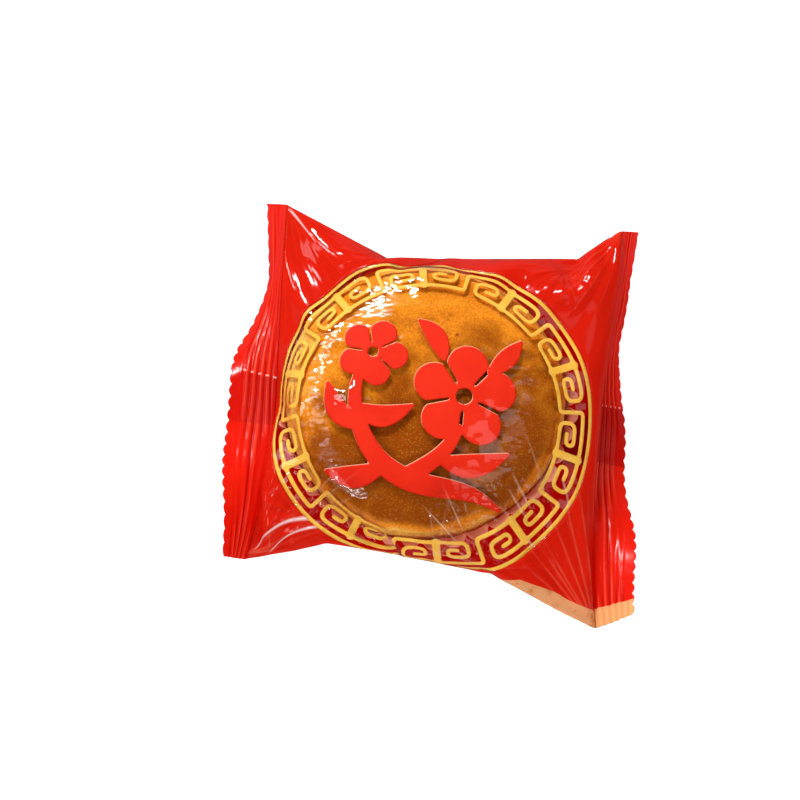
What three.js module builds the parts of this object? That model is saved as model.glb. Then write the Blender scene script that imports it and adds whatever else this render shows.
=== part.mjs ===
// A wedding pastry sealed in a flow-wrapped film pack, as one closed solid of the pack's outer shape.
// The film is a flattened tube: it is drawn over a round pastry, runs out into a flat crimped seal with
// a serrated edge at each end, and is closed along its underside by a seam that is folded flat.
// Millimetres, +Z up, +X along the tube, +Y towards the back. The pack lies on z = 0.
import * as THREE from "three";
// ---------------------------------------------------------------- driving dimensions

// The round pastry that the film lies on: its top is a shallow dome.
const PASTRY = { x: -0.5, y: 1.6, radius: 35, crown: 26.5, fall: 7, footRadius: 27 };

// The height of the side creases, where the upper and lower film meet, at mid length.
const CREASE_HEIGHT = 10.5;

// The back and front creases at mid length, and how much each shifts from one end to the other.
const BACK = { y: 43.5, shift: 3.4 };
const FRONT = { y: -38, shift: -3.6 };

// The ears: where the tube widens to its flat width at a seal. reach is a share of the length between
// the seals, and flare is how far the crease moves out.
const EARS = {
  backLeft: { reach: 0.31, flare: 12.4 },
  backRight: { reach: 0.09, flare: 9.2 },
  frontLeft: { reach: 0.26, flare: 5.9 },
  frontRight: { reach: 0.36, flare: 12.1 },
};

// The end seals. Each list runs evenly from the front to the back of the seal: x and z of the line where
// the crimp begins, the angle at which the seal stands up (positive) or hangs down (negative), and the
// angle by which it leans towards the back.
const ENDS = {
  left: {
    side: -1,
    x: [-46.7, -43.7, -42.7, -43.3, -44.2, -45, -45.5],
    z: [8, 9, 9.5, 10, 11.7, 13, 14],
    tilt: [69, 41, 5, 0, -46, -68, -56],
    lean: [-8, 0, 0, 0, 0, 4, 18],
  },
  right: {
    side: 1,
    x: [48, 44.6, 43.6, 43.8, 44.8, 47.3, 48.1],
    z: [6, 7.5, 8.5, 9.5, 11.2, 13, 14],
    tilt: [46, 20, -30, -41, -62, -70, -62],
    lean: [14, 3, 0, 0, 0, 4, 20],
  },
};
const SEAL = { width: 11.6, thickness: 0.6, ridges: 7, ridgeHeight: 0.22 };
const TOOTH = { pitch: 3.4, depth: 0.9, root: 0.4 };

// Soft pleats where the crimp gathers the film: they fade out towards the pastry.
const PLEATS = { count: 9, height: 0.55, fade: 0.09 };

// The seam along the underside. It is pressed flush with the flat base where the pastry weighs on it.
const SEAM = { width: 14.5, thickness: 0.4, edge: 0.4, yLeft: 2, yRight: -1.6 };

// How finely the surface is divided: between the seals, and across the tube beside and over the seam.
const BODY_STEPS = 30;
const SIDE_STEPS = 11;
const SEAM_STEPS = 4;
const CORNER_SHARPNESS = 7;

// ---------------------------------------------------------------- small helpers

const clamp01 = (value) => Math.min(1, Math.max(0, value));
const mix = THREE.MathUtils.lerp;
const degrees = THREE.MathUtils.degToRad;

// A smooth curve through evenly spaced values, read at a share from 0 to 1.
function through(values) {
  const curve = new THREE.SplineCurve(values.map((value, i) => new THREE.Vector2(i, value)));
  return (share) => curve.getPoint(share).y;
}

// Rises smoothly from 0 where share is 0 or less to 1 where it is 1.
function ramp(share) {
  const softness = 0.16;
  return share > 0 ? ((share * share) / (share + softness)) * (1 + softness) : 0;
}

for (const end of Object.values(ENDS)) {
  end.xAt = through(end.x);
  end.zAt = through(end.z);
  end.tiltAt = through(end.tilt);
  end.leanAt = through(end.lean);
}

// ---------------------------------------------------------------- the film's shape
// along runs from 0 at the left seal to 1 at the right one, and across from -1 at the front crease
// to 1 at the back one.

function creaseY(along) {
  const back =
    BACK.y + BACK.shift * along +
    EARS.backLeft.flare * ramp(1 - along / EARS.backLeft.reach) +
    EARS.backRight.flare * ramp(1 - (1 - along) / EARS.backRight.reach);
  const front =
    FRONT.y + FRONT.shift * along -
    EARS.frontLeft.flare * ramp(1 - along / EARS.frontLeft.reach) -
    EARS.frontRight.flare * ramp(1 - (1 - along) / EARS.frontRight.reach);
  return { back, front };
}

function planPoint(along, across) {
  const { back, front } = creaseY(along);
  const share = (across + 1) / 2;
  const x = mix(ENDS.left.xAt(share), ENDS.right.xAt(share), along);
  return { x, y: mix(front, back, share) };
}

// The height at which the upper and lower film would meet if nothing lay between them.
function middleHeight(along, across) {
  const share = (across + 1) / 2;
  const atSeals = mix(ENDS.left.zAt(share), ENDS.right.zAt(share), along);
  return mix(atSeals, CREASE_HEIGHT, Math.sin(Math.PI * along) ** 0.8);
}

// How much of the pastry's height is left at a point outside it: 1 at the pastry, 0 at the pack's edge.
// Where the edge is close the film rounds over, and where it is far the film runs down straight.
function heldUp(distance, edgeDistance, pastryRadius) {
  const room = Math.max(edgeDistance - pastryRadius, 1e-3);
  const outside = clamp01((distance - pastryRadius) / room);
  const straight = clamp01((room - 7) / 16);
  return (1 - outside ** mix(2, 1.15, straight)) ** mix(0.5, 1.05, straight);
}

function pleat(along, across, phase) {
  const fromSeal = Math.min(along, 1 - along);
  const strength = PLEATS.height * Math.exp(-fromSeal / PLEATS.fade) * (1 - across ** 4);
  const uneven = 0.65 + 0.35 * Math.sin(2.3 * across + 3 * phase);
  return strength * uneven * Math.sin(Math.PI * PLEATS.count * across + phase);
}

// The upper and lower film between the seals.
function bodyPoint(along, across, upper) {
  const { x, y } = planPoint(along, across);
  const distance = Math.hypot(x - PASTRY.x, y - PASTRY.y);
  // The share of the way from the middle of the pack to its edge, which is nearly square.
  const outwards = (Math.abs(2 * along - 1) ** CORNER_SHARPNESS + Math.abs(across) ** CORNER_SHARPNESS)
    ** (1 / CORNER_SHARPNESS);
  const edgeDistance = distance / Math.max(Math.min(outwards, 1), 1e-3);
  const middle = middleHeight(along, across);
  const half = SEAL.thickness / 2;
  if (upper) {
    const dome = PASTRY.crown - PASTRY.fall * (distance / PASTRY.radius) ** 2;
    const lift = (dome - middle - half) * heldUp(distance, edgeDistance, PASTRY.radius);
    return new THREE.Vector3(x, y, middle + half + Math.max(lift + pleat(along, across, 0.4), 0));
  }
  const drop = (middle - half) * heldUp(distance, edgeDistance, PASTRY.footRadius);
  return new THREE.Vector3(x, y, Math.max(middle - half - Math.max(drop + pleat(along, across, 2), 0), 0));
}

// The crimped seal of one end. outwards runs from 0 where the crimp begins to 1 at the cut edge.
function sealFrame(end, across) {
  const share = (across + 1) / 2;
  const along = end.side < 0 ? 0 : 1;
  const tilt = degrees(end.tiltAt(share));
  const lean = degrees(end.leanAt(share));
  const start = new THREE.Vector3(end.xAt(share), planPoint(along, across).y, end.zAt(share));
  const level = new THREE.Vector3(end.side * Math.cos(tilt), 0, Math.sin(tilt));
  const out = level.multiplyScalar(Math.cos(lean)).setY(Math.sin(lean));
  const normal = new THREE.Vector3(-end.side * Math.sin(tilt), 0, Math.cos(tilt));
  return { start, out, normal };
}

function sealPoint(end, outwards, across, offset) {
  const { start, out, normal } = sealFrame(end, across);
  return start.addScaledVector(out, SEAL.width * outwards).addScaledVector(normal, offset);
}

// ---------------------------------------------------------------- the seam on the underside

// Where a line along the tube at a given y crosses a station.
function acrossAt(along, y) {
  const { back, front } = creaseY(along);
  return (2 * (y - front)) / (back - front) - 1;
}

function seamEdges(along) {
  const middle = mix(SEAM.yLeft, SEAM.yRight, along);
  return { front: middle - SEAM.width / 2, back: middle + SEAM.width / 2 };
}

// How far the seam stands out below the lower film: its edges slope over a short distance.
function seamDepth(along, across) {
  const { back, front } = creaseY(along);
  const y = mix(front, back, (across + 1) / 2);
  const edges = seamEdges(along);
  const inside = Math.min(y - edges.front, edges.back - y);
  return SEAM.thickness * clamp01(inside / SEAM.edge);
}

// The places across the tube at which a station is divided, with lines on both edges of the seam.
function places(along) {
  const edges = seamEdges(along);
  const spread = (from, to, count, ease) =>
    Array.from({ length: count }, (_, i) => mix(acrossAt(along, from), acrossAt(along, to), (i / count) ** ease));
  const { back, front } = creaseY(along);
  const crowded = 1.2;
  const inFront = spread(front, edges.front, SIDE_STEPS, crowded);
  const behind = spread(back, edges.back, SIDE_STEPS, crowded).reverse();
  const over = spread(edges.front + SEAM.edge, edges.back - SEAM.edge, SEAM_STEPS, 1);
  return [...inFront, acrossAt(along, edges.front), ...over, acrossAt(along, edges.back - SEAM.edge),
    acrossAt(along, edges.back), ...behind];
}

// ---------------------------------------------------------------- the film's rows of points
// A row runs across the tube from the front crease to the back one, with its upper and lower points.

function bodyRow(along) {
  const across = places(along);
  const lower = (a) => {
    const point = bodyPoint(along, a, false);
    return point.setZ(Math.max(point.z - seamDepth(along, a), 0));
  };
  return { across, upper: across.map((a) => bodyPoint(along, a, true)), lower: across.map(lower) };
}

function sealRow(end, across, outwardsAt, height) {
  const along = end.side < 0 ? 0 : 1;
  const half = SEAL.thickness / 2;
  return {
    across,
    upper: across.map((a, i) => sealPoint(end, outwardsAt(i), a, height + half)),
    lower: across.map((a, i) => sealPoint(end, outwardsAt(i), a, height - half - seamDepth(along, a))),
  };
}

// The crests and valleys of the crimp, from where it begins to just behind the teeth.
function crimpRows(end) {
  const across = places(end.side < 0 ? 0 : 1);
  const crimped = 1 - (TOOTH.depth + TOOTH.root) / SEAL.width;
  return Array.from({ length: 2 * SEAL.ridges }, (_, i) => {
    const outwards = (crimped * (i + 1)) / (2 * SEAL.ridges);
    return sealRow(end, across, () => outwards, SEAL.ridgeHeight * (i % 2 ? -1 : 1));
  });
}

// The cut edge: its points lie by turns on the tip of a tooth and in the notch between two.
function toothRow(end) {
  const { back, front } = creaseY(end.side < 0 ? 0 : 1);
  const teeth = Math.round((back - front) / TOOTH.pitch);
  const across = Array.from({ length: 2 * teeth + 1 }, (_, i) => i / teeth - 1);
  return sealRow(end, across, (i) => (i % 2 ? 1 : 1 - TOOTH.depth / SEAL.width), 0);
}

// ---------------------------------------------------------------- the film as one closed surface

// The triangles between two rows, which need not have the same number of points. A triangle is three
// entries, each with the row (0 or 1) and the place in it, and runs anticlockwise seen from above.
function stitch(left, right) {
  const triangles = [];
  let [i, j] = [0, 0];
  while (i < left.length - 1 || j < right.length - 1) {
    const nextLeft = i < left.length - 1 ? left[i + 1] : Infinity;
    const nextRight = j < right.length - 1 ? right[j + 1] : Infinity;
    if (nextLeft + (left[i] ?? 0) <= nextRight + (right[j] ?? 0)) {
      triangles.push([[0, i], [1, j], [0, i + 1]]);
      i += 1;
    } else {
      triangles.push([[0, i], [1, j], [1, j + 1]]);
      j += 1;
    }
  }
  return triangles;
}

function filmPack() {
  const rows = [
    toothRow(ENDS.left),
    ...crimpRows(ENDS.left).reverse(),
    ...Array.from({ length: BODY_STEPS + 1 }, (_, i) => {
      const even = i / BODY_STEPS;
      return bodyRow(mix(even, (1 - Math.cos(Math.PI * even)) / 2, 0.45));
    }),
    ...crimpRows(ENDS.right),
    toothRow(ENDS.right),
  ];
  const positions = [];
  const starts = rows.map((row) => {
    const start = positions.length / 3;
    positions.push(...[...row.upper, ...row.lower].flatMap((point) => point.toArray()));
    return start;
  });
  const upper = (r, i) => starts[r] + i;
  const lower = (r, i) => starts[r] + rows[r].across.length + i;
  const last = (r) => rows[r].across.length - 1;
  const faces = [];
  for (let r = 0; r + 1 < rows.length; r++) {
    for (const triangle of stitch(rows[r].across, rows[r + 1].across)) {
      faces.push(...triangle.map(([row, i]) => upper(r + row, i)));
      faces.push(...triangle.map(([row, i]) => lower(r + row, i)).reverse());
    }
    const [a, b] = [r, r + 1];
    faces.push(lower(a, 0), lower(b, 0), upper(b, 0), lower(a, 0), upper(b, 0), upper(a, 0));
    const [p, q, s, t] = [lower(a, last(a)), lower(b, last(b)), upper(b, last(b)), upper(a, last(a))];
    faces.push(p, s, q, p, t, s);
  }
  const end = rows.length - 1;
  for (let i = 0; i < last(end); i++) {
    const [a, b, c, d] = [lower(end, i), lower(end, i + 1), upper(end, i + 1), upper(end, i)];
    faces.push(a, b, c, a, c, d);
  }
  for (let i = 0; i < last(0); i++) {
    const [a, b, c, d] = [lower(0, i), lower(0, i + 1), upper(0, i + 1), upper(0, i)];
    faces.push(a, c, b, a, d, c);
  }
  const geometry = new THREE.BufferGeometry();
  geometry.setAttribute("position", new THREE.Float32BufferAttribute(positions, 3));
  geometry.setIndex(faces);
  geometry.computeVertexNormals();
  return geometry;
}

// ---------------------------------------------------------------- the part

const film = new THREE.MeshStandardMaterial({ color: 0xd81f10, roughness: 0.22, metalness: 0 });
film.name = "printed_film";

const pack = new THREE.Mesh(filmPack(), film);
pack.name = "film_pack";

// The origin is the middle of the pack's footprint, on the surface that it lies on.
const box = new THREE.Box3().setFromObject(pack);
const centre = box.getCenter(new THREE.Vector3());
pack.position.set(-centre.x, -centre.y, -box.min.z);

const part = new THREE.Group();
part.add(pack);

export default part;
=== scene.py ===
"""A round wedding pastry in a fluted paper cup, sealed in a printed film pack.

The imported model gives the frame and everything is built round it. Sizes in the classes
are millimetres, measured from the drawing's zero point; meshes are written in metres.
"""
import logging
import math
from dataclasses import dataclass, field, replace
from enum import Enum
from typing import Callable

import bpy
import numpy as np
from bpy.types import Material, Node, NodeTree
from bpy.types import NodeSocket as Socket
from bpy.types import Object as Piece
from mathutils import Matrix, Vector


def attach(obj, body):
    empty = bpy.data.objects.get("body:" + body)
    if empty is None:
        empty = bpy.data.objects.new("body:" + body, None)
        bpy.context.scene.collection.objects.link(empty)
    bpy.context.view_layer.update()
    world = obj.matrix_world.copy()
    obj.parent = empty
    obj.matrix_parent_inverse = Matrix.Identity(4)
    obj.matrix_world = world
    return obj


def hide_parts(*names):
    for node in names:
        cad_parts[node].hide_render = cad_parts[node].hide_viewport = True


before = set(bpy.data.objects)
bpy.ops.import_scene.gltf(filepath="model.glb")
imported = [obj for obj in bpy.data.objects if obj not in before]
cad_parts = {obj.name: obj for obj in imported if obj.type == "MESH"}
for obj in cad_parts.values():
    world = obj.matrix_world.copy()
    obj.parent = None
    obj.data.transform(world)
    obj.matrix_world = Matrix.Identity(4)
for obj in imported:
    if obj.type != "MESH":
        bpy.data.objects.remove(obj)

MM = 0.001
ZERO_POINT = np.array([-0.515, -2.961, 0.0])  # the drawing's zero point, in the model's frame
CAD_NODE = "film_pack"
BODY = "root"
UV_SCALE = 100.0  # millimetres of flat film to one unit of its UV map

FADE_TO_ONE = 27 / 4  # makes t * (1 - t)**2 reach 1 at its highest
WRINKLES_RUN = math.radians(27)  # bearing of the crust's brushed wrinkles

log = logging.getLogger("pastry")
Array = np.ndarray
Pair = tuple[float, float]
Triple = tuple[float, float, float]
Colour = tuple[float, float, float, float]
Outline = Callable[[Array, Array], Array]  # signed distance to a flat shape, below zero inside


# ---- small tools


def smooth_step(value: Array | float, low: float, high: float) -> Array:
    """Returns 0 below low, 1 above high, and an S-shaped rise between them."""
    t = np.clip((np.asarray(value, float) - low) / (high - low), 0.0, 1.0)
    return t * t * (3 - 2 * t)


def lumps(points: Array, size: float | Array, seed: int) -> Array:
    """Makes smooth random heights.

    Args:
        points: positions, one row each.
        size: distance from one lump to the next, the same or one for each axis.
        seed: picks the pattern.

    Returns:
        A height from -1 to 1 for each point.
    """
    lattice = np.random.default_rng(seed).uniform(-1, 1, (32, 32, 32))
    scaled = points / size
    low = np.floor(scaled).astype(int)
    share = scaled - low
    share = share * share * (3 - 2 * share)
    total = np.zeros(len(points))
    for corner in np.ndindex(2, 2, 2):
        weight = np.prod(np.where(corner, share, 1 - share), axis=1)
        cell = (low + corner) & 31
        total += weight * lattice[cell[:, 0], cell[:, 1], cell[:, 2]]
    return total


@dataclass(frozen=True)
class Lumps:
    """Smooth random heights: from one lump to the next along each axis, their height and seed."""

    size: float | Triple
    height: float
    seed: int

    def at(self, points: Array) -> Array:
        """Returns the height at each point."""
        return lumps(points, np.array(self.size), self.seed) * self.height


def bearing_bump(turn: Array, bearing: float, spread: float) -> Array:
    """Returns 1 in one direction, falling away over a spread, both in degrees."""
    off = (np.degrees(turn) - bearing + 180) % 360 - 180
    return np.exp(-((off / spread) ** 2))


class Spline:
    """A natural cubic through evenly spaced values, read at shares from 0 to 1."""

    def __init__(self, values: Array | tuple[float, ...]) -> None:
        """Fits the curve.

        Args:
            values: one value or one row for each station.
        """
        rows = np.asarray(values, float)
        self.flat = rows.ndim == 1
        self.rows = rows.reshape(len(rows), -1)
        count = len(rows)
        system = np.eye(count)
        target = np.zeros_like(self.rows)
        for i in range(1, count - 1):
            system[i, i - 1 : i + 2] = (1, 4, 1)
            target[i] = 6 * (self.rows[i + 1] - 2 * self.rows[i] + self.rows[i - 1])
        self.bends = np.linalg.solve(system, target)

    def __call__(self, share: Array | float) -> Array:
        """Reads the curve.

        Args:
            share: places along it, from 0 to 1.

        Returns:
            Its value or row at each place.
        """
        place = np.clip(np.asarray(share, float), 0, 1) * (len(self.rows) - 1)
        i = np.minimum(place.astype(int), len(self.rows) - 2)
        b = (place - i)[..., None]
        a = 1 - b
        value = (
            a * self.rows[i]
            + b * self.rows[i + 1]
            + ((a**3 - a) * self.bends[i] + (b**3 - b) * self.bends[i + 1]) / 6
        )
        return value[..., 0] if self.flat else value


def deselect_all() -> None:
    """Leaves object mode with nothing selected."""
    if bpy.context.object and bpy.context.object.mode != "OBJECT":
        bpy.ops.object.mode_set(mode="OBJECT")
    bpy.ops.object.select_all(action="DESELECT")


def work_on(piece: Piece) -> None:
    """Makes a piece the only selected and active one.

    Args:
        piece: the piece.
    """
    deselect_all()
    piece.select_set(True)
    bpy.context.view_layer.objects.active = piece


def edit_all(piece: Piece, *steps: Callable[[], object]) -> None:
    """Runs mesh operators on the whole of a piece, in edit mode.

    Args:
        piece: the piece.
        *steps: what is run, in order.
    """
    work_on(piece)
    bpy.ops.object.mode_set(mode="EDIT")
    bpy.ops.mesh.select_all(action="SELECT")
    for step in steps:
        step()
    bpy.ops.object.mode_set(mode="OBJECT")


def keep_layer(piece: Piece, name: str, values: Array) -> None:
    """Stores a value for each vertex, for the finish to read."""
    layer = piece.data.attributes.new(name, "FLOAT", "POINT")
    layer.data.foreach_set("value", values.astype(np.float32))


def read_rows(rows: bpy.types.bpy_prop_collection, name: str, width: int,
              kind: type = float) -> Array:
    """Reads one property of a mesh's vertices, edges, faces or loops.

    Args:
        rows: what is read.
        name: the property.
        width: how many numbers each row has.
        kind: the numbers' type.

    Returns:
        One row each.
    """
    values = np.empty(len(rows) * width, kind)
    rows.foreach_get(name, values)
    return values.reshape(-1, width)


def read_points(piece: Piece) -> Array:
    """Returns a piece's vertices, one row each."""
    return read_rows(piece.data.vertices, "co", 3)


def write_points(piece: Piece, points: Array) -> None:
    """Moves a piece's vertices to new places."""
    piece.data.vertices.foreach_set("co", np.ascontiguousarray(points, float).ravel())
    piece.data.update()


def to_metres(points: Array) -> Array:
    """Returns drawing points in millimetres as model points in metres."""
    return (points + ZERO_POINT) * MM


def shape_piece(piece: Piece, points: Array) -> None:
    """Gives a flat piece its shape.

    Args:
        piece: the piece.
        points: a drawing point in millimetres for each vertex.
    """
    write_points(piece, to_metres(points))


def flat_grid(name: str, low: Pair, high: Pair,
              cells: tuple[int, int]) -> Piece:
    """Adds a flat grid that later takes the film's shape.

    Args:
        name: the piece's name.
        low: lowest corner, in the sheet's own flat measures.
        high: highest corner.
        cells: faces along each side.

    Returns:
        The new piece, with its flat measures in its vertices' x and y.
    """
    deselect_all()
    bpy.ops.mesh.primitive_grid_add(x_subdivisions=cells[0], y_subdivisions=cells[1], size=2)
    piece = bpy.context.object
    piece.name = piece.data.name = name
    points = read_points(piece)
    for axis in (0, 1):
        points[:, axis] = low[axis] + (high[axis] - low[axis]) * (points[:, axis] + 1) / 2
    write_points(piece, points)
    return piece


def drop_faces(piece: Piece, outline: Outline) -> None:
    """Deletes the faces of a flat grid whose middles lie outside an outline.

    Args:
        piece: the flat grid.
        outline: the line.
    """
    work_on(piece)
    bpy.context.tool_settings.mesh_select_mode = (False, False, True)
    mesh = piece.data
    middle = read_rows(mesh.polygons, "center", 3)
    for rows in (mesh.vertices, mesh.edges):
        rows.foreach_set("select", np.zeros(len(rows), bool))
    mesh.polygons.foreach_set("select", outline(middle[:, 0], middle[:, 1]) > 0)
    bpy.ops.object.mode_set(mode="EDIT")
    bpy.ops.mesh.delete(type="FACE")
    bpy.ops.object.mode_set(mode="OBJECT")


def rim_points(piece: Piece) -> Array:
    """Finds the vertices on open edges.

    Args:
        piece: the sheet.

    Returns:
        Their numbers.
    """
    used = read_rows(piece.data.loops, "edge_index", 1, np.int32)[:, 0]
    ends = read_rows(piece.data.edges, "vertices", 2, np.int32)
    return np.unique(ends[np.bincount(used, minlength=len(ends)) == 1])


def cut_out(piece: Piece, outline: Outline, reach: float) -> None:
    """Keeps the part of a flat grid inside an outline, and pulls its rim onto the line.

    Args:
        piece: the flat grid.
        outline: the line.
        reach: the furthest that a rim point may lie from the line and still be pulled.
    """
    drop_faces(piece, outline)
    points = read_points(piece)
    rim = rim_points(piece)
    tiny = 0.02
    for _ in range(2):
        x, y = points[rim, 0], points[rim, 1]
        gap = outline(x, y)
        slope_x = (outline(x + tiny, y) - outline(x - tiny, y)) / (2 * tiny)
        slope_y = (outline(x, y + tiny) - outline(x, y - tiny)) / (2 * tiny)
        size = np.maximum(slope_x**2 + slope_y**2, 0.2)
        near = np.abs(gap) < reach
        points[rim, 0] -= np.where(near, gap * slope_x / size, 0)
        points[rim, 1] -= np.where(near, gap * slope_y / size, 0)
    write_points(piece, points)


def keep_flat_map(piece: Piece, flat: Array) -> None:
    """Stores the flat measures of each vertex as the piece's UV map.

    Args:
        piece: the piece.
        flat: millimetres on the flat film, a row for each vertex.
    """
    mesh = piece.data
    while mesh.uv_layers:
        mesh.uv_layers.remove(mesh.uv_layers[0])
    layer = mesh.uv_layers.new(name="flat")
    used = read_rows(mesh.loops, "vertex_index", 1, np.int32)[:, 0]
    layer.data.foreach_set("uv", (flat[used] / UV_SCALE).ravel())


def solid_wall(piece: Piece, thickness: float, offset: float = -1.0) -> None:
    """Gives a sheet a thin wall, closed at its rim.

    Args:
        piece: the sheet.
        thickness: the wall, in millimetres.
        offset: -1 keeps the sheet as the outer face, 0 as the middle.
    """
    work_on(piece)
    bpy.ops.object.modifier_add(type="SOLIDIFY")
    wall = piece.modifiers[-1]
    wall.thickness = thickness * MM
    wall.offset = offset
    wall.use_even_offset = False
    bpy.ops.object.modifier_apply(modifier=wall.name)


def finish_piece(piece: Piece, material: Material, slot: str) -> None:
    """Dresses a finished mesh and ties it to the model.

    Args:
        piece: the piece, with its place in its mesh.
        material: its finish.
        slot: a material slot's name, only written to the log.
    """
    work_on(piece)
    bpy.ops.object.shade_smooth()
    piece.data.materials.clear()
    piece.data.materials.append(material)
    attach(piece, BODY)
    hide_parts(CAD_NODE)
    faces = len(piece.data.polygons)
    log.info("%s: %d faces, slot %s", piece.name, faces, slot)


# ---- node wiring


@dataclass
class Wiring:
    """Adds and joins the nodes of one material or node group."""

    tree: NodeTree

    def add(self, kind: str, **settings: object) -> Node:
        """Adds a node.

        Args:
            kind: the node's type, without ShaderNode.
            **settings: attributes, or inputs where the name is an input's.

        Returns:
            The node.
        """
        node = self.tree.nodes.new("ShaderNode" + kind)
        for name, value in settings.items():
            if hasattr(node, name):
                setattr(node, name, value)
            else:
                self.feed(node.inputs[name.replace("_", " ")], value)
        return node

    def feed(self, socket: Socket, value: object) -> None:
        """Joins an output to a socket, or sets the socket's value.

        Args:
            socket: an input.
            value: an output, or a plain value.
        """
        if isinstance(value, Socket):
            self.tree.links.new(value, socket)
        else:
            socket.default_value = value

    def math(self, operation: str, *values: object, clamp: bool = False) -> Socket:
        """Does one sum.

        Args:
            operation: the sum's name.
            *values: values or sockets.
            clamp: keeps the result from 0 to 1.

        Returns:
            The result.
        """
        node = self.add("Math", operation=operation, use_clamp=clamp)
        for socket, value in zip(node.inputs, values):
            self.feed(socket, value)
        return node.outputs[0]

    def times(self, first: object, second: object) -> Socket:
        """Returns the product of two values or sockets."""
        return self.math("MULTIPLY", first, second)

    def plus(self, first: object, second: object, clamp: bool = False) -> Socket:
        """Returns two values or sockets added up."""
        return self.math("ADD", first, second, clamp=clamp)

    def minus(self, first: object, second: object, clamp: bool = False) -> Socket:
        """Returns the first value or socket less the second."""
        return self.math("SUBTRACT", first, second, clamp=clamp)

    def blend(self, share: object, first: object, second: object) -> Socket:
        """Mixes two colours.

        Args:
            share: how much of the second shows.
            first: a colour or socket.
            second: a colour or socket.

        Returns:
            The mixed colour.
        """
        node = self.add("Mix", data_type="RGBA")
        for i, value in ((0, share), (6, first), (7, second)):
            self.feed(node.inputs[i], value)
        return node.outputs[2]

    def span(self, value: object, low: float, high: float, start: float = 0.0,
             end: float = 1.0) -> Socket:
        """Moves a value smoothly from one range to another.

        Args:
            value: a socket.
            low: where the first range begins.
            high: where it ends.
            start: the result at low.
            end: the result at high.

        Returns:
            The moved value.
        """
        node = self.add("MapRange", interpolation_type="SMOOTHSTEP")
        self.feed(node.inputs[0], value)
        for i, number in enumerate((low, high, start, end), 1):
            node.inputs[i].default_value = number
        return node.outputs[0]

    def noise(self, vector: object, scale: float, detail: float = 2.0,
              rough: float = 0.5) -> Socket:
        """Returns soft random values, scale waves to the metre."""
        return self.add("TexNoise", Vector=vector, Scale=scale, Detail=detail,
                        Roughness=rough).outputs["Fac"]

    def mottled(self, place: Socket, patch: float, grain: float) -> tuple[Socket, Socket]:
        """Returns uneven tone in broad patches and in fine grain, waves to the metre."""
        tone = Effects.place(self, mottle_group, place, Patch=patch, Grain=grain)
        return tone["Patches"], tone["Grains"]

    def drawn_along(self, place: Socket) -> Socket:
        """Returns a place for noise that is drawn out along the crust's brushed wrinkles."""
        return self.add("Mapping", Vector=place, Rotation=(0.0, 0.0, -WRINKLES_RUN),
                        Scale=(0.5, 1.0, 1.0)).outputs[0]

    def flat_map(self) -> Socket:
        """Returns the place on the flat film."""
        return self.add("UVMap", uv_map="flat").outputs[0]

    def bumped(self, height: Socket, distance: float, strength: float = 1.0) -> Socket:
        """Returns the normal of a surface that is raised by a height."""
        return self.add("Bump", Strength=strength, Distance=distance, Height=height).outputs[0]

    def layered(self, share: object, first: Node, second: Node) -> Node:
        """Mixes two shaders.

        Args:
            share: how much of the second shows.
            first: a shader.
            second: a shader.

        Returns:
            The mix.
        """
        node = self.add("MixShader")
        for socket, value in zip(node.inputs, (share, first.outputs[0], second.outputs[0])):
            self.feed(socket, value)
        return node

    def translucent(self, share: float, shader: Node, colour: Socket) -> Node:
        """Returns a shader that also lets a share of the light through in a colour."""
        return self.layered(share, shader, self.add("BsdfTranslucent", Color=colour))

    def show(self, shader: Node) -> None:
        """Puts a shader on the surface."""
        self.add("OutputMaterial", Surface=shader.outputs[0])


def new_material(name: str) -> tuple[Material, Wiring, Socket]:
    """Makes an empty material.

    Args:
        name: the material's name.

    Returns:
        The material, its wiring and the piece's own coordinates.
    """
    material = bpy.data.materials.new(name)
    material.use_nodes = True
    material.node_tree.nodes.clear()
    wiring = Wiring(material.node_tree)
    return material, wiring, wiring.add("TexCoord").outputs["Object"]


def new_group(name: str, inputs: tuple[str, ...], outputs: tuple[str, ...]
              ) -> tuple[NodeTree, Wiring, bpy.types.NodeOutputs, bpy.types.NodeInputs]:
    """Makes a shader group with a vector input, number inputs and number outputs.

    Args:
        name: the group's name.
        inputs: names of its number inputs.
        outputs: names of its outputs.

    Returns:
        The group, its wiring, what comes in and what goes out.
    """
    group = bpy.data.node_groups.new(name, "ShaderNodeTree")
    group.interface.new_socket("Vector", in_out="INPUT", socket_type="NodeSocketVector")
    for titles, way in ((inputs, "INPUT"), (outputs, "OUTPUT")):
        for title in titles:
            group.interface.new_socket(title, in_out=way, socket_type="NodeSocketFloat")
    source, result = (group.nodes.new("NodeGroup" + end) for end in ("Input", "Output"))
    return group, Wiring(group), source.outputs, result.inputs


def crinkle_group() -> NodeTree:
    """Builds the film's fine creases in millimetres: slack ripples, and facets between folds.

    Returns:
        The group.
    """
    group, w, value, result = new_group("film_crinkle", ("Ripple", "Slope"), ("Height",))
    vector = value["Vector"]
    ripple = w.times(w.noise(vector, 110.0, 1.0, 0.4), value["Ripple"])
    total = None
    folds = (((0.85, 0.50, 0.3), 110.0, 31.0), ((-0.42, 0.90, 0.3), 150.0, 37.0),
             ((0.97, -0.22, -0.4), 190.0, 43.0), ((0.35, -0.93, 0.5), 90.0, 29.0))
    for direction, pitch, patch in folds:
        run = w.add("VectorMath", operation="DOT_PRODUCT", Vector=vector)
        run.inputs[1].default_value = direction
        bend = w.times(w.noise(vector, patch * 0.8, 0.0), 1.6)
        wave = w.math("PINGPONG", w.plus(w.times(run.outputs["Value"], pitch), bend), 1.0)
        mask = w.span(w.noise(vector, patch * 1.4, 1.0), 0.50, 0.66)
        part = w.times(w.times(wave, mask), 1000.0 / pitch)
        total = part if total is None else w.plus(total, part)
    w.feed(result["Height"], w.plus(ripple, w.times(total, value["Slope"])))
    return group


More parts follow.
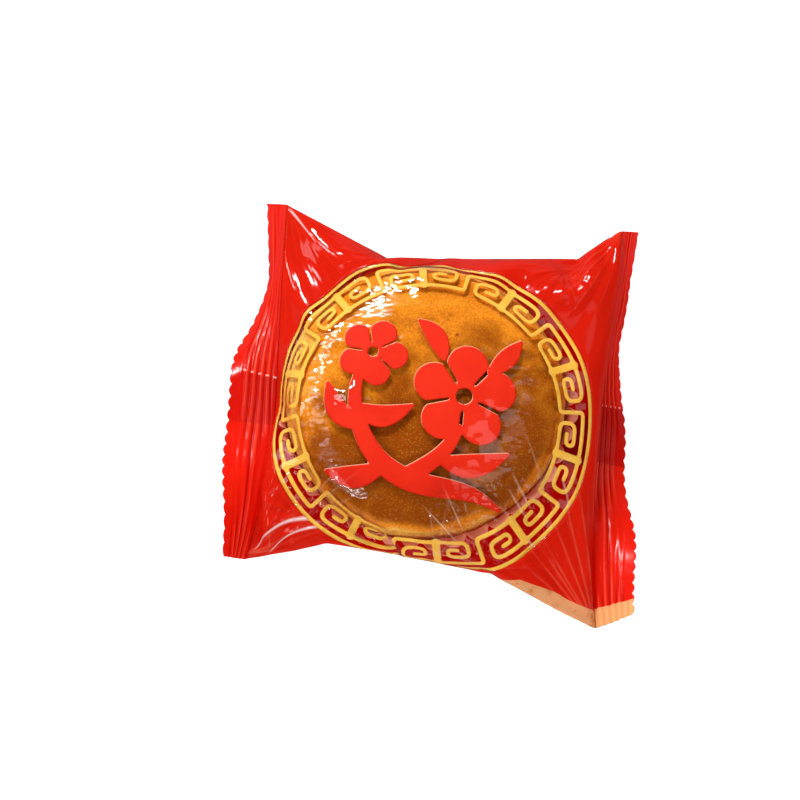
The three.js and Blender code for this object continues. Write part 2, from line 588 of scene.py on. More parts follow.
def polar(w: Wiring, value: bpy.types.NodeOutputs) -> tuple[Socket, Socket]:
    """Reads the flat film round a group's centre.

    Args:
        w: the group's wiring.
        value: the group's inputs.

    Returns:
        Millimetres from the centre, and the turn from the middle direction.
    """
    flat = w.add("SeparateXYZ", Vector=value["Vector"])
    gap_x, gap_y = (w.minus(w.times(flat.outputs[axis], UV_SCALE), value["Centre " + axis])
                    for axis in "XY")
    out = w.math("SQRT", w.plus(w.times(gap_x, gap_x), w.times(gap_y, gap_y)))
    turn = w.minus(w.math("ARCTAN2", gap_y, gap_x), value["Middle"])
    return out, w.math("WRAP", turn, math.pi, -math.pi)


def arc_group() -> NodeTree:
    """Builds one curved line on the flat film, where a highlight is painted: part of a circle, thin
    at its ends.

    Returns:
        The group.
    """
    group, w, value, result = new_group("film_arc", (
        "Centre X", "Centre Y", "Middle", "Spread", "Radius", "Breadth", "White"), ("Line",))
    out, turn = polar(w, value)
    side = w.math("DIVIDE", turn, value["Spread"])
    breadth = w.times(w.span(side, -1.0, 0.8, 1.0, 0.3), value["Breadth"])
    gap = w.math("ABSOLUTE", w.minus(out, value["Radius"]))
    line = w.minus(1.0, w.math("DIVIDE", gap, breadth), clamp=True)
    ends = w.span(w.math("ABSOLUTE", side), 0.75, 1.0, 1.0, 0.0)
    w.feed(result["Line"], w.times(w.times(line, value["White"]), ends))
    return group


def fan_group() -> NodeTree:
    """Builds straight folds that spread from one point of the flat film, in millimetres, with a
    line along each fold where a highlight is painted.

    Returns:
        The group.
    """
    group, w, value, result = new_group("film_fan", (
        "Centre X", "Centre Y", "Middle", "Spread", "Reach", "Count", "Slope", "Seed", "White",
        "Breadth"), ("Height", "Line"))
    out, turn = polar(w, value)
    place = w.plus(w.times(turn, value["Count"]), value["Seed"])
    width = w.math("DIVIDE", out, value["Count"])
    nearest, edge = (
        w.times(w.add("TexVoronoi", voronoi_dimensions="1D", feature=feature, Scale=1.0,
                      W=place).outputs["Distance"], width)
        for feature in ("F1", "DISTANCE_TO_EDGE"))
    side = w.math("DIVIDE", w.math("ABSOLUTE", turn), value["Spread"])
    far = w.math("DIVIDE", out, value["Reach"])
    fade = w.times(w.span(side, 0.6, 1.0, 1.0, 0.0), w.span(far, 0.4, 1.0, 1.0, 0.0))
    w.feed(result["Height"], w.times(w.times(nearest, value["Slope"]), fade))
    # A pale highlight is painted along each fold edge.
    line = w.minus(1.0, w.math("DIVIDE", edge, value["Breadth"]), clamp=True)
    w.feed(result["Line"], w.times(w.times(line, value["White"]), fade))
    return group


def mottle_group() -> NodeTree:
    """Builds uneven tone: broad patches with a fine grain over them.

    Returns:
        The group.
    """
    group, w, value, result = new_group("mottle", ("Patch", "Grain"), ("Patches", "Grains"))
    for output, scale, detail in (("Patches", "Patch", 3.0), ("Grains", "Grain", 4.0)):
        w.feed(result[output], w.noise(value["Vector"], value[scale], detail, 0.6))
    return group


class Effects:
    """Shared effects, each built once and placed in every material that uses it."""

    groups: dict[str, NodeTree] = {}

    @classmethod
    def place(cls, wiring: Wiring, build: Callable[[], NodeTree], vector: Socket,
              **values: float) -> bpy.types.NodeOutputs:
        """Adds a group node to a material.

        Args:
            wiring: the material's wiring.
            build: makes the group the first time that it's needed.
            vector: coordinates that the effect reads.
            **values: the effect's own settings.

        Returns:
            What the group puts out.
        """
        if build.__name__ not in cls.groups:
            cls.groups[build.__name__] = build()
        node = wiring.add("Group")
        node.node_tree = cls.groups[build.__name__]
        wiring.feed(node.inputs["Vector"], vector)
        for title, value in values.items():
            node.inputs[title].default_value = value
        return node.outputs


# ---- finishes


class FlatMark:
    """A mark on the flat film, placed by the fields of the dataclass that it belongs to."""

    def values(self) -> dict[str, float]:
        """Measures the mark as its node group does.

        Returns:
            A value for each of the group's inputs.
        """
        values = {name.capitalize(): value for name, value in vars(self).items()}
        values["Centre X"], values["Centre Y"] = values.pop("Centre")
        for name in ("Middle", "Spread"):
            values[name] = math.radians(values[name])
        return values


@dataclass(frozen=True)
class FilmFan(FlatMark):
    """Folds that spread over the flat film from one point, in millimetres and degrees."""

    centre: Pair
    middle: float
    spread: float
    reach: float
    count: float
    slope: float
    seed: float
    # How strongly a pale highlight is painted along the fold lines.
    white: float = 0.18
    breadth: float = 0.3

    def moved(self, x: float, y: float) -> "FilmFan":
        """Returns the same fan measured from another zero."""
        return replace(self, centre=(self.centre[0] - x, self.centre[1] - y))


@dataclass(frozen=True)
class FilmArc(FlatMark):
    """A highlight painted along a fold, on part of a circle on the flat film."""

    centre: Pair
    radius: float
    middle: float
    spread: float
    breadth: float
    white: float


def film_bump(w: Wiring, place: Socket, ripple: float, slope: float, fans: tuple[FilmFan, ...],
              grain: float = 0.0) -> tuple[Socket, Socket | None]:
    """Adds a film's creases to a material.

    Args:
        w: the material's wiring.
        place: the piece's own coordinates.
        ripple: height of its slack ripples, in millimetres.
        slope: slope of its facets.
        fans: the folds that spread from its corners and pinches.
        grain: height of the crust's grain where the film clings to it.

    Returns:
        The bumped normal, and the fans' fold lines where it has any, along which a highlight is
        painted.
    """
    height = Effects.place(w, crinkle_group, place, Ripple=ripple, Slope=slope)["Height"]
    flat, lines = w.flat_map(), None
    for fan in fans:
        folded = Effects.place(w, fan_group, flat, **fan.values())
        height = w.plus(height, folded["Height"])
        lines = folded["Line"] if lines is None else w.math("MAXIMUM", lines, folded["Line"])
    if grain:
        cling = w.span(w.noise(place, 90.0, 1.0), 0.35, 0.60, 0.25, 1.0)
        dimples = w.times(w.noise(w.drawn_along(place), 340.0, 1.0, 0.4), cling)
        height = w.plus(height, w.times(dimples, grain))
    return w.bumped(height, MM), lines


@dataclass(frozen=True)
class PrintedFilm:
    """Glossy film with red ink under its outer face."""

    red: Colour = (0.82, 0.022, 0.007, 1.0)
    deep: Colour = (0.64, 0.008, 0.003, 1.0)
    # Pale colour painted along the fans' fold lines as a crease highlight.
    wear_and_crease_highlight: Colour = (0.95, 0.25, 0.14, 1.0)
    bare: Colour = (0.90, 0.53, 0.25, 1.0)
    bare_line: Colour = (0.74, 0.33, 0.11, 1.0)
    # Near-white painted along the arcs as fold highlights.
    painted_crease_highlight: Colour = (1.0, 0.97, 0.95, 1.0)
    see_through: float = 0.54

    def material(self, name: str, margin: tuple[Pair, ...] = (), fans: tuple[FilmFan, ...] = (),
                 arcs: tuple[FilmArc, ...] = (), fin: "FinPrint | None" = None,
                 roughness: float = 0.07) -> Material:
        """Builds the finish.

        Args:
            name: the material's name.
            margin: how wide the unprinted margin at the front crease is, along the film.
            fans: folds that spread from the film's corners, with a highlight painted along their
                fold lines.
            arcs: highlights painted along sharp folds.
            fin: what an end seal shows, where the piece is one.
            roughness: the film's roughness.

        Returns:
            The material.
        """
        material, w, place = new_material(name)
        flat = w.flat_map()
        along, across, _ = w.add("SeparateXYZ", Vector=flat).outputs
        normal, lines = film_bump(w, place, 0.22, 0.02 if fin else 0.035, fans)
        patches, _ = w.mottled(place, 45.0, 700.0)
        colour = w.blend(w.span(patches, 0.3, 0.75), self.red, self.deep)
        colour = w.blend(0.25, self.red, colour)
        # Painted highlight: pale colour along the fans' fold lines, broken up by noise.
        if lines:
            broken = w.span(w.noise(place, 60.0, 2.0), 0.40, 0.62, 0.15, 1.0)
            colour = w.blend(w.times(lines, broken), colour, self.wear_and_crease_highlight)
        # Painted highlight: near-white streaks along the arcs.
        for arc in arcs:
            line = Effects.place(w, arc_group, flat, **arc.values())["Line"]
            colour = w.blend(line, colour, self.painted_crease_highlight)
        if margin:
            inside = self.margin_mask(w, margin, along, across, place)
            streaks = w.noise(place, 420.0, 3.0, 0.6)
            bare = w.blend(w.span(streaks, 0.5, 0.72), self.bare, self.bare_line)
            colour = w.blend(inside, colour, bare)
        if fin:
            colour = fin.paint(w, self, colour, along, across, place)
        shader = w.add("BsdfPrincipled", Base_Color=colour, Roughness=roughness, IOR=1.5,
                       Normal=normal)
        w.show(w.translucent(self.see_through, shader, colour))
        return material

    @staticmethod
    def margin_mask(w: Wiring, margin: tuple[Pair, ...], along: Socket, across: Socket,
                    place: Socket) -> Socket:
        """Finds the unprinted margin.

        Args:
            w: the material's wiring.
            margin: the margin's width at places along the film.
            along: place along the flat film.
            across: distance from the front crease.
            place: the piece's own coordinates.

        Returns:
            1 in the margin, 0 on the print.
        """
        edge = -0.003
        for (start, low), (end, high) in zip(margin[:-1], margin[1:]):
            rise = w.add("MapRange", interpolation_type="LINEAR")
            w.feed(rise.inputs[0], along)
            for i, number in enumerate((start, end, 0.0, high - low), 1):
                rise.inputs[i].default_value = number / UV_SCALE
            edge = w.plus(rise.outputs[0], edge)
        wander = w.times(w.minus(w.noise(place, 90.0), 0.5), 0.008)
        return w.span(w.minus(w.plus(edge, wander), across), -0.0006, 0.0006)


@dataclass(frozen=True)
class FinPrint:
    """What an end seal's print shows, measured along it from its front end."""

    seam: Pair
    slant: Pair
    bare_to: float
    seam_tone: float = 0.5
    ridge_pitch: float = 2.1
    # Painted shade in the crimp's grooves and painted highlight on its crests.
    crimp_hollow_shade: Colour = (0.50, 0.002, 0.002, 1.0)
    crimp_top_highlight: Colour = (0.98, 0.13, 0.06, 1.0)
    doubled: Colour = (0.55, 0.002, 0.004, 1.0)
    dashes: Colour = (0.95, 0.70, 0.62, 1.0)

    def paint(self, w: Wiring, film: PrintedFilm, colour: Socket, along: Socket, across: Socket,
              place: Socket) -> Socket:
        """Adds painted shade in the crimp's grooves and a painted highlight on its crests, the
        doubled seam, its row of light dashes and the bare end.

        Args:
            w: the material's wiring.
            film: the film's colours.
            colour: the colour so far.
            along: measure along the seal.
            across: measure from its inner edge.
            place: the piece's own coordinates.

        Returns:
            The colour with the fin's own print.
        """
        # The crimp paints shade in its grooves and a highlight on its crests.
        crimp = w.add("Attribute", attribute_name="crimp").outputs["Fac"]
        colour = w.blend(w.span(crimp, -0.9, -0.1, 0.75, 0.0), colour, self.crimp_hollow_shade)
        colour = w.blend(w.span(crimp, 0.35, 1.0, 0.0, 0.55), colour, self.crimp_top_highlight)
        low, high = (n / UV_SCALE for n in self.seam)
        soft = 0.002
        from_low, from_high = (w.math("MULTIPLY_ADD", across, -slant / EndFin.width, along)
                               for slant in self.slant)
        inside = w.times(w.span(from_low, low - soft, low + soft),
                         w.span(from_high, high - soft, high + soft, 1.0, 0.0))
        colour = w.blend(w.times(inside, self.seam_tone), colour, self.doubled)
        row = w.times(w.span(from_high, high - 0.001, high + 0.002),
                      w.span(from_high, high + 0.004, high + 0.007, 1.0, 0.0))
        beat = w.math("SINE", w.times(across, UV_SCALE * 2 * math.pi / self.ridge_pitch))
        dash = w.times(row, w.span(beat, 0.0, 0.5))
        colour = w.blend(w.times(dash, 0.85), colour, self.dashes)
        if self.bare_to:
            wander = w.times(w.noise(place, 160.0), 0.012)
            end = self.bare_to / UV_SCALE
            bare = w.span(w.minus(along, wander), end - 0.0068, end - 0.0058, 1.0, 0.0)
            tan = w.blend(w.span(beat, -0.2, 0.9, 0.0, 0.45), film.bare, film.bare_line)
            colour = w.blend(bare, colour, tan)
        return colour


@dataclass(frozen=True)
class ClearFilm:
    """Clear glossy film."""

    roughness: float = 0.03
    least: float = 0.04
    # Pale colour painted along the fold lines as a crease highlight.
    painted_crease_highlight: Colour = (0.95, 0.78, 0.60, 1.0)

    def material(self, name: str, fans: tuple[FilmFan, ...]) -> Material:
        """Builds the finish.

        Args:
            name: the material's name.
            fans: folds that spread over the film, with a highlight painted along their fold lines.

        Returns:
            The material.
        """
        material, w, place = new_material(name)
        normal, lines = film_bump(w, place, 0.20, 0.05, fans, 0.42)
        gloss = w.add("BsdfAnisotropic", distribution="GGX", Roughness=self.roughness,
                      Normal=normal)
        facing = w.add("LayerWeight", Blend=0.5, Normal=normal).outputs["Facing"]
        share = w.math("MULTIPLY_ADD", w.math("POWER", facing, 5.0), 1.0 - self.least, self.least)
        clear = w.layered(share, w.add("BsdfTransparent"), gloss)
        # Painted highlight: pale diffuse colour along the fans' fold lines, broken up by noise.
        broken = w.span(w.noise(place, 70.0, 2.0), 0.48, 0.64, 0.0, 0.7)
        w.show(w.layered(w.times(lines, broken), clear, w.add("BsdfDiffuse", Color=self.painted_crease_highlight)))
        return material


@dataclass(frozen=True)
class Ink:
    """Opaque printing ink, a little uneven in tone."""

    light: Colour
    dark: Colour
    patch: float = 60.0
    grain: float = 1400.0
    broad: float = 0.75
    tones: Pair = (0.3, 0.7)
    roughness: float = 0.6
    specular: float = 0.15

    def material(self, name: str) -> Material:
        """Builds the finish.

        Args:
            name: the material's name.

        Returns:
            The material.
        """
        material, w, place = new_material(name)
        patches, grains = w.mottled(place, self.patch, self.grain)
        share = w.plus(w.times(patches, self.broad), w.times(grains, 1 - self.broad))
        colour = w.blend(w.span(share, *self.tones), self.light, self.dark)
        shader = w.add("BsdfPrincipled", Base_Color=colour, Roughness=self.roughness)
        shader.inputs["Specular IOR Level"].default_value = self.specular
        w.show(shader)
        return material


GOLD_INK = Ink((0.93, 0.52, 0.07, 1.0), (0.76, 0.38, 0.035, 1.0), 70.0, 1600.0, 0.7,
               (0.35, 0.65), 0.5, 0.25)
RED_INK = Ink((0.76, 0.026, 0.006, 1.0), (0.68, 0.016, 0.004, 1.0))
# Pale ink under the motif: print, and its rim a painted highlight on the motif's upper-left edge.
PALE_PRINT_EDGE_HIGHLIGHT = Ink((0.90, 0.42, 0.24, 1.0), (0.90, 0.42, 0.24, 1.0))


@dataclass(frozen=True)
class GlazedCrust:
    """Egg-washed, oven-browned pastry crust, darker towards the front as painted shade."""

    pale: Colour = (0.95, 0.55, 0.10, 1.0)
    golden: Colour = (0.88, 0.28, 0.014, 1.0)
    brown: Colour = (0.29, 0.055, 0.0025, 1.0)
    painted_dimple_shade: Colour = (0.10, 0.018, 0.003, 1.0)
    relief: float = 0.00060

    def material(self, name: str) -> Material:
        """Builds the finish.

        Args:
            name: the material's name.

        Returns:
            The material.
        """
        material, w, place = new_material(name)
        patches, grains = w.mottled(place, 75.0, 1700.0)
        # Browning read from the pastry: paler low on the sides, and darker towards the front as
        # painted shade.
        baked = w.add("Attribute", attribute_name="baked").outputs["Fac"]
        uneven = w.plus(baked, w.span(patches, 0.3, 0.7, -0.20, 0.20))
        colour = w.blend(w.span(uneven, 0.0, 0.5), self.pale, self.golden)
        colour = w.blend(w.span(uneven, 0.45, 1.0), colour, self.brown)
        colour = w.blend(w.times(w.span(grains, 0.36, 0.66), 0.42), colour, self.brown)
        specks = w.span(w.noise(place, 2400.0, 1.0), 0.54, 0.70, 0.0, 0.14)
        colour = w.blend(specks, colour, self.pale)
        # Small pits, dented by the bump and darkened as painted shade.
        cells = w.add("TexVoronoi", Vector=place, Scale=210.0, Randomness=1.0).outputs
        picked = w.add("SeparateColor", Color=cells["Color"]).outputs[0]
        hole = w.times(w.span(picked, 0.88, 0.90), w.span(cells["Distance"], 0.05, 0.16, 1.0, 0.0))
        colour = w.blend(w.times(hole, 0.85), colour, self.painted_dimple_shade)
        coarse = w.noise(w.drawn_along(place), 380.0, 1.0, 0.4)
        height = w.plus(w.times(w.noise(place, 1900.0, 1.0, 0.5), 0.05), coarse)
        rough = w.span(w.noise(place, 260.0, 2.0), 0.35, 0.65, 0.04, 0.12)
        w.show(w.add("BsdfPrincipled", Base_Color=colour, Roughness=rough, IOR=1.5,
                     Normal=w.bumped(w.minus(height, hole), self.relief)))
        return material


@dataclass(frozen=True)
class CupPaper:
    """Thin greaseproof paper, darker and redder towards its foot and in random patches."""

    paper: Colour = (0.98, 0.42, 0.28, 1.0)
    lower_paper_tone: Colour = (0.92, 0.24, 0.14, 1.0)
    see_through: float = 0.35

    def material(self, name: str) -> Material:
        """Builds the finish.

        Args:
            name: the material's name.

        Returns:
            The material.
        """
        material, w, place = new_material(name)
        patches, grains = w.mottled(place, 90.0, 1800.0)
        height = w.add("SeparateXYZ", Vector=place).outputs["Z"]
        # Darker and redder below about 9 mm, and in random patches.
        lower_share = w.plus(w.span(height, 0.003, 0.009, 0.9, 0.0), w.times(patches, 0.3), clamp=True)
        colour = w.blend(lower_share, self.paper, self.lower_paper_tone)
        shader = w.add("BsdfPrincipled", Base_Color=colour, Roughness=0.7,
                       Normal=w.bumped(grains, 0.0002, 0.3))
        w.show(w.translucent(self.see_through, shader, colour))
        return material


# ---- forms inside the film


@dataclass
class PastryForm:
    """The pastry's rounded outline: a flat-footed dome."""

    x: float = -2.0
    y: float = 2.8
    radius: float = 38.6
    foot: float = 1.2
    top: float = 25.6
    waist_share: float = 0.36
    upper_power: float = 3.0
    lower_power: float = 4.0
    play: float = 0.6
    # where the side bulges: its bearing, its spread and how much wider it is
    bulges: tuple[Triple, ...] = ((128.0, 48.0, 2.3), (-45.0, 32.0, -0.9))

    def reach(self, turn: Array) -> Array:
        """Finds how far the pastry, out of the oven, reaches from its middle.

        Args:
            turn: bearings, in radians.

        Returns:
            Its reach in each.
        """
        total = np.full(np.shape(turn), self.radius - self.play)
        for direction, spread, wider in self.bulges:
            total += wider * bearing_bump(turn, direction, spread)
        return total

    @property
    def waist(self) -> float:
        """Height of the widest part."""
        return self.foot + self.waist_share * (self.top - self.foot)

    def push_out(self, points: Array) -> None:
        """Moves film points that have sunk into the pastry back onto it.

        Args:
            points: the film's points.
        """
        dx, dy = points[..., 0] - self.x, points[..., 1] - self.y
        out = np.hypot(dx, dy) + 1e-9
        rise = points[..., 2] - self.waist
        upper = rise >= 0
        tall = np.where(upper, self.top - self.waist, self.waist - self.foot)
        power = np.where(upper, self.upper_power, self.lower_power)
        r, z = out / self.radius, np.abs(rise) / tall
        size = (r**power + z**power) ** (1 / power)
        slope_r = r ** (power - 1) / self.radius
        slope_z = z ** (power - 1) * np.sign(rise) / tall
        steep = np.hypot(slope_r, slope_z) + 1e-9
        depth = (1 - size) / np.maximum(
            steep * np.maximum(size, 1e-3) ** (1 - power), 1e-6)
        depth = np.minimum(depth, 3.0) * (size < 1)
        points[..., 0] += depth * slope_r / steep * dx / out
        points[..., 1] += depth * slope_r / steep * dy / out
        points[..., 2] += depth * slope_z / steep


@dataclass
class CupForm:
    """The paper cup's outline: a shallow cone."""

    x: float = -1.6
    y: float = 2.2
    rim: float = 39.8
    height: float = 11.0
    slope: float = 0.9
    lowest: float = 1.5
    reach_in: float = 6.0
    most_push: float = 0.5

    def push_out(self, points: Array) -> None:
        """Eases film points just inside the cup's rim outwards.

        Args:
            points: the film's points.
        """
        dx, dy = points[..., 0] - self.x, points[..., 1] - self.y
        out = np.hypot(dx, dy) + 1e-9
        z = points[..., 2]
        wall = self.rim - (self.height - np.clip(z, 0, self.height)) * self.slope
        caught = (z < self.height) & (z > self.lowest) & (out < wall) & (out > wall - self.reach_in)
        push = np.where(caught, np.minimum(wall - out, self.most_push), 0)
        points[..., 0] += push * dx / out
        points[..., 1] += push * dy / out


# ---- the film


class Side(Enum):
    """The pack's two sealed ends."""

    LEFT = -1
    RIGHT = 1


@dataclass(frozen=True)
class SealLine:
    """One end seal's inner edge and how its fin leaves it, listed from front to back."""

    side: Side
    x: tuple[float, ...]
    y: tuple[float, ...]
    z: tuple[float, ...]
    tilt: tuple[float, ...]
    lean: tuple[float, ...]

    def path(self) -> Spline:
        """Returns the inner edge, evenly spaced in station."""
        return Spline(np.stack([self.x, self.y, self.z], -1))

    def measure(self) -> tuple[Array, Array]:
        """Measures the edge.

        Returns:
            Fine stations along it, and the length up to each.
        """
        stations = np.linspace(0, 1, 801)
        points = self.path()(stations)
        steps = np.linalg.norm(np.diff(points, axis=0), axis=1)
        return stations, np.concatenate([[0], np.cumsum(steps)])

    @property
    def length(self) -> float:
        """Length of the inner edge."""
        return float(self.measure()[1][-1])

    def at(self, share: Array) -> Array:
        """Returns points at shares of the edge's length."""
        stations, run = self.measure()
        return self.path()(np.interp(np.asarray(share) * run[-1], run, stations))

    def directions(self, share: Array) -> tuple[Array, Array]:
        """Finds how the fin leaves the edge.

        Args:
            share: shares of the edge's length.

        Returns:
            Its outward direction, and its upper face's normal.
        """
        tilt = np.radians(Spline(self.tilt)(share))
        lean = np.radians(Spline(self.lean)(share))
        sign = self.side.value
        out = np.stack([sign * np.cos(tilt) * np.cos(lean), np.sin(lean),
                        np.sin(tilt) * np.cos(lean)], -1)
        normal = np.stack([-sign * np.sin(tilt), 0 * tilt, np.cos(tilt)], -1)
        return out, normal


LEFT_SEAL = SealLine(
    Side.LEFT,
    x=(-46.7, -43.7, -42.7, -43.3, -44.2, -45.0, -45.5),
    y=(-43.9, -27.3, -10.7, 5.9, 22.5, 39.1, 55.8),
    z=(8.0, 9.0, 9.5, 10.0, 11.7, 13.0, 14.0),
    tilt=(69, 41, 5, 0, -46, -68, -56),
    lean=(-8, 0, 0, 0, 0, 4, 18),
)
RIGHT_SEAL = SealLine(
    Side.RIGHT,
    x=(48.0, 44.6, 43.6, 43.8, 44.8, 47.3, 48.1),
    y=(-53.7, -35.4, -17.1, 1.2, 19.4, 37.7, 56.0),
    z=(6.0, 7.5, 8.5, 9.5, 11.2, 13.0, 14.0),
    tilt=(46, 20, -30, -41, -62, -70, -62),
    lean=(14, 3, 0, 0, 0, 4, 20),
)


@dataclass(frozen=True)
class SideLimits:
    """How far the pack's long sides reach, left to right, seen from a little in front of above."""

    back: tuple[Pair, ...] = (
        (-46.0, 56.0), (-15.5, 42.6), (-7.0, 43.8), (37.0, 47.0), (48.4, 57.0))
    front: tuple[Pair, ...] = (
        (-47.0, -44.4), (-34.0, -40.9), (-25.0, -37.9), (-14.0, -38.8), (-5.5, -39.8),
        (12.0, -41.5), (20.0, -42.4), (35.1, -49.2), (48.4, -55.4))
    back_height: float = 14.0
    front_height: float = 9.5
    slope: float = 0.287

    def reach(self, points: Array) -> tuple[Array, Array]:
        """Returns the least and the most y that each point may have."""
        return tuple(
            np.interp(points[..., 0], *np.array(side).T) - self.slope * (points[..., 2] - height)
            for side, height in ((self.front, self.front_height), (self.back, self.back_height)))

    def hold_in(self, points: Array) -> None:
        """Keeps film points between the two sides."""
        points[..., 1] = np.clip(points[..., 1], *self.reach(points))

    def draw_out(self, points: Array, front: Array, back: Array) -> None:
        """Eases film points towards the two sides.

        Args:
            points: all points.
            front: how strongly each is drawn to the front side, from 0 to 1.
            back: how strongly each is drawn to the back side.
        """
        least, most = self.reach(points)
        points[..., 1] += front * (least - points[..., 1]) + back * (most - points[..., 1])


@dataclass
class FilmTube:
    """The film between the seals: a slack, partly filled tube drawn over the pastry.

    Its rest shape is flat film. It is let down over the pastry with a little air inside,
    and settles as the real film does, in three grids, each twice as fine as the last.
    """

    pastry: PastryForm
    cup: CupForm
    sides: SideLimits = SideLimits()
    length: float = 100.0
    air_volume: float = 145e3
    floor: float = 0.5
    weight: float = 0.0006
    pressure: float = 0.02
    damping: float = 0.92
    stiffness: float = 0.14
    shear: float = 0.6
    tuck: float = 0.20
    tuck_from: float = 0.10
    tuck_to: float = 0.30
    draw: float = 0.08
    draw_width: float = 2.5
    start_middle: float = 1.2
    start_waist: float = 0.19
    start_top: float = 25.9
    start_uneven: float = 0.12
    pump: float = 40.0
    crisp_reach: float = 0.12
    crisp_width: float = 0.02
    seed: int = 4
    first_grid: tuple[int, int] = (36, 40)
    rounds: tuple[int, int, int] = (700, 500, 260)
    points: Array = field(default_factory=lambda: np.zeros((0, 0, 3)))

    @property
    def cells(self) -> tuple[int, int]:
        """Cells along the tube, and round one face of it."""
        return self.points.shape[0] - 1, self.points.shape[1] // 2

    def girth(self, share: Array | float) -> Array:
        """Returns the flat width of one face at a share of the tube's length."""
        return LEFT_SEAL.length * (1 - np.asarray(share)) + RIGHT_SEAL.length * share

    def face_share(self) -> Array:
        """Finds where each column lies across a face.

        Returns:
            0 at the front crease, 1 at the back.
        """
        _, round_cells = self.cells
        column = np.arange(2 * round_cells)
        return np.where(column <= round_cells, column, 2 * round_cells - column) / round_cells

    def hold_ends(self) -> None:
        """Puts both ends back on the seals."""
        share = self.face_share()
        self.points[0] = LEFT_SEAL.at(share)
        self.points[-1] = RIGHT_SEAL.at(share)

    def start(self) -> None:
        """Lays out a rough tube between the seals, with a little seeded unevenness."""
        along, across = self.first_grid
        self.points = np.zeros((along + 1, 2 * across, 3))
        a = np.linspace(0, 1, along + 1)[:, None]
        share = self.face_share()[None, :]
        left, right = LEFT_SEAL.at(share[0]), RIGHT_SEAL.at(share[0])
        p = left[None] * (1 - a[..., None]) + right[None] * a[..., None]
        middle, waist = self.start_middle, self.start_waist
        p[..., 1] = middle + (p[..., 1] - middle) * (1 - waist * np.sin(np.pi * a) ** 0.7)
        swell = (1 - np.abs(2 * share - 1) ** 3.5) * np.sin(np.pi * a) ** 0.6
        upper = np.arange(2 * across)[None, :] < across
        p[..., 2] += (np.where(upper, self.start_top, self.floor) - p[..., 2]) * swell
        rng = np.random.default_rng(self.seed)
        p += rng.normal(0, self.start_uneven, p.shape) * (np.sin(np.pi * a)[..., None] > 0.01)
        self.points = p
        self.hold_ends()

    def refine(self) -> None:
        """Halves the cells both ways."""
        p = self.points
        rows = np.zeros((2 * p.shape[0] - 1, p.shape[1], 3))
        rows[::2] = p
        rows[1::2] = (p[1:] + p[:-1]) / 2
        full = np.zeros((rows.shape[0], 2 * rows.shape[1], 3))
        full[:, ::2] = rows
        full[:, 1::2] = (rows + np.roll(rows, -1, 1)) / 2
        self.points = full
        self.hold_ends()

    def lift(self) -> tuple[float, Array]:
        """Measures the room inside.

        Returns:
            Its volume, and each point's share of the area as an outward vector.
        """
        q = np.concatenate([self.points, self.points[:, :1]], 1)
        a, b, c, d = q[:-1, :-1], q[1:, :-1], q[1:, 1:], q[:-1, 1:]
        area = np.cross(c - a, d - b) * 0.5
        volume = float(np.einsum("ijk,ijk->", (a + b + c + d) / 4, area) / 3)
        share = np.zeros_like(q)
        for rows in (slice(None, -1), slice(1, None)):
            for columns in (slice(None, -1), slice(1, None)):
                share[rows, columns] += area / 4
        share[:, 0] += share[:, -1]
        return volume, share[:, :-1]

    @staticmethod
    def pull(p: Array, free: Array, first: object, second: object, rest: Array | float,
             strength: float = 1.0, turn: int = 0) -> None:
        """Moves joined pairs of points towards their rest distance.

        Args:
            p: all points.
            free: 1 where a point may move, 0 where it is held.
            first: picks the first point of each pair.
            second: picks the second.
            rest: the distance wanted.
            strength: share of the error to put right.
            turn: how many columns further round the second point is.
        """
        a, b = p[first], np.roll(p[second], -turn, axis=1)
        gap = b - a
        size = np.sqrt(np.einsum("ijk,ijk->ij", gap, gap)) + 1e-9
        free_a, free_b = free[first], free[second]
        step = (strength * (size - rest) / size / (free_a + free_b + 1e-9))[..., None] * gap
        p[first] = a + step * free_a[..., None]
        p[second] = np.roll(b - step * free_b[..., None], turn, axis=1)

    def settle(self, rounds: int) -> None:
        """Lets the film move until it rests.

        Args:
            rounds: steps to take.
        """
        along, across = self.cells
        p = self.points
        free = np.ones(p.shape[:2])
        free[0] = free[-1] = 0
        step_u = self.length / along
        a = np.linspace(0, 1, along + 1)
        step_v = self.girth(a) / across
        tucked = self.tuck * smooth_step(np.minimum(a, 1 - a), self.tuck_from, self.tuck_to)
        lower = np.arange(2 * across) >= across
        rest_v = step_v[:, None] * (1 - tucked[:, None] * lower[None])
        slant = np.sqrt(step_u**2 + ((rest_v[:-1] + rest_v[1:]) / 2) ** 2)
        ends = np.minimum(np.arange(along + 1), along - np.arange(along + 1)) / along
        column = np.arange(2 * across)
        crease = np.minimum.reduce([column, 2 * across - column, abs(column - across)]) / across
        soft = (1 - 0.9 * np.exp(-((ends[:, None] / self.crisp_reach) ** 2))
                * np.exp(-((crease[None] / self.crisp_width) ** 2)))[..., None]
        cell = step_u * (LEFT_SEAL.length + RIGHT_SEAL.length) / 2 / across
        from_crease = np.minimum(column, 2 * across - column) * step_v[:, None]
        drawn = self.draw * smooth_step(ends, 0.02, 0.10)[:, None]
        front = drawn * np.exp(-((from_crease / self.draw_width) ** 2))
        back = drawn * np.exp(-((abs(column - across) * step_v[:, None] / self.draw_width) ** 2))
        rows = [(slice(low, along, 2), slice(low + 1, along + 1, 2)) for low in (0, 1)]
        speed = np.zeros_like(p)
        for _ in range(rounds):
            volume, outward = self.lift()
            press = np.clip(
                (self.air_volume - volume) / self.air_volume * self.pressure * self.pump,
                -self.pressure, self.pressure)
            before = p.copy()
            speed *= self.damping
            push = outward / cell * press
            push[..., 2] -= self.weight
            p += (speed + push) * free[..., None]
            even, odd = np.s_[:, 0::2], np.s_[:, 1::2]
            self.pull(p, free, even, odd, rest_v[even])
            turned, held = np.roll(p, -1, axis=1), np.roll(free, -1, axis=1)
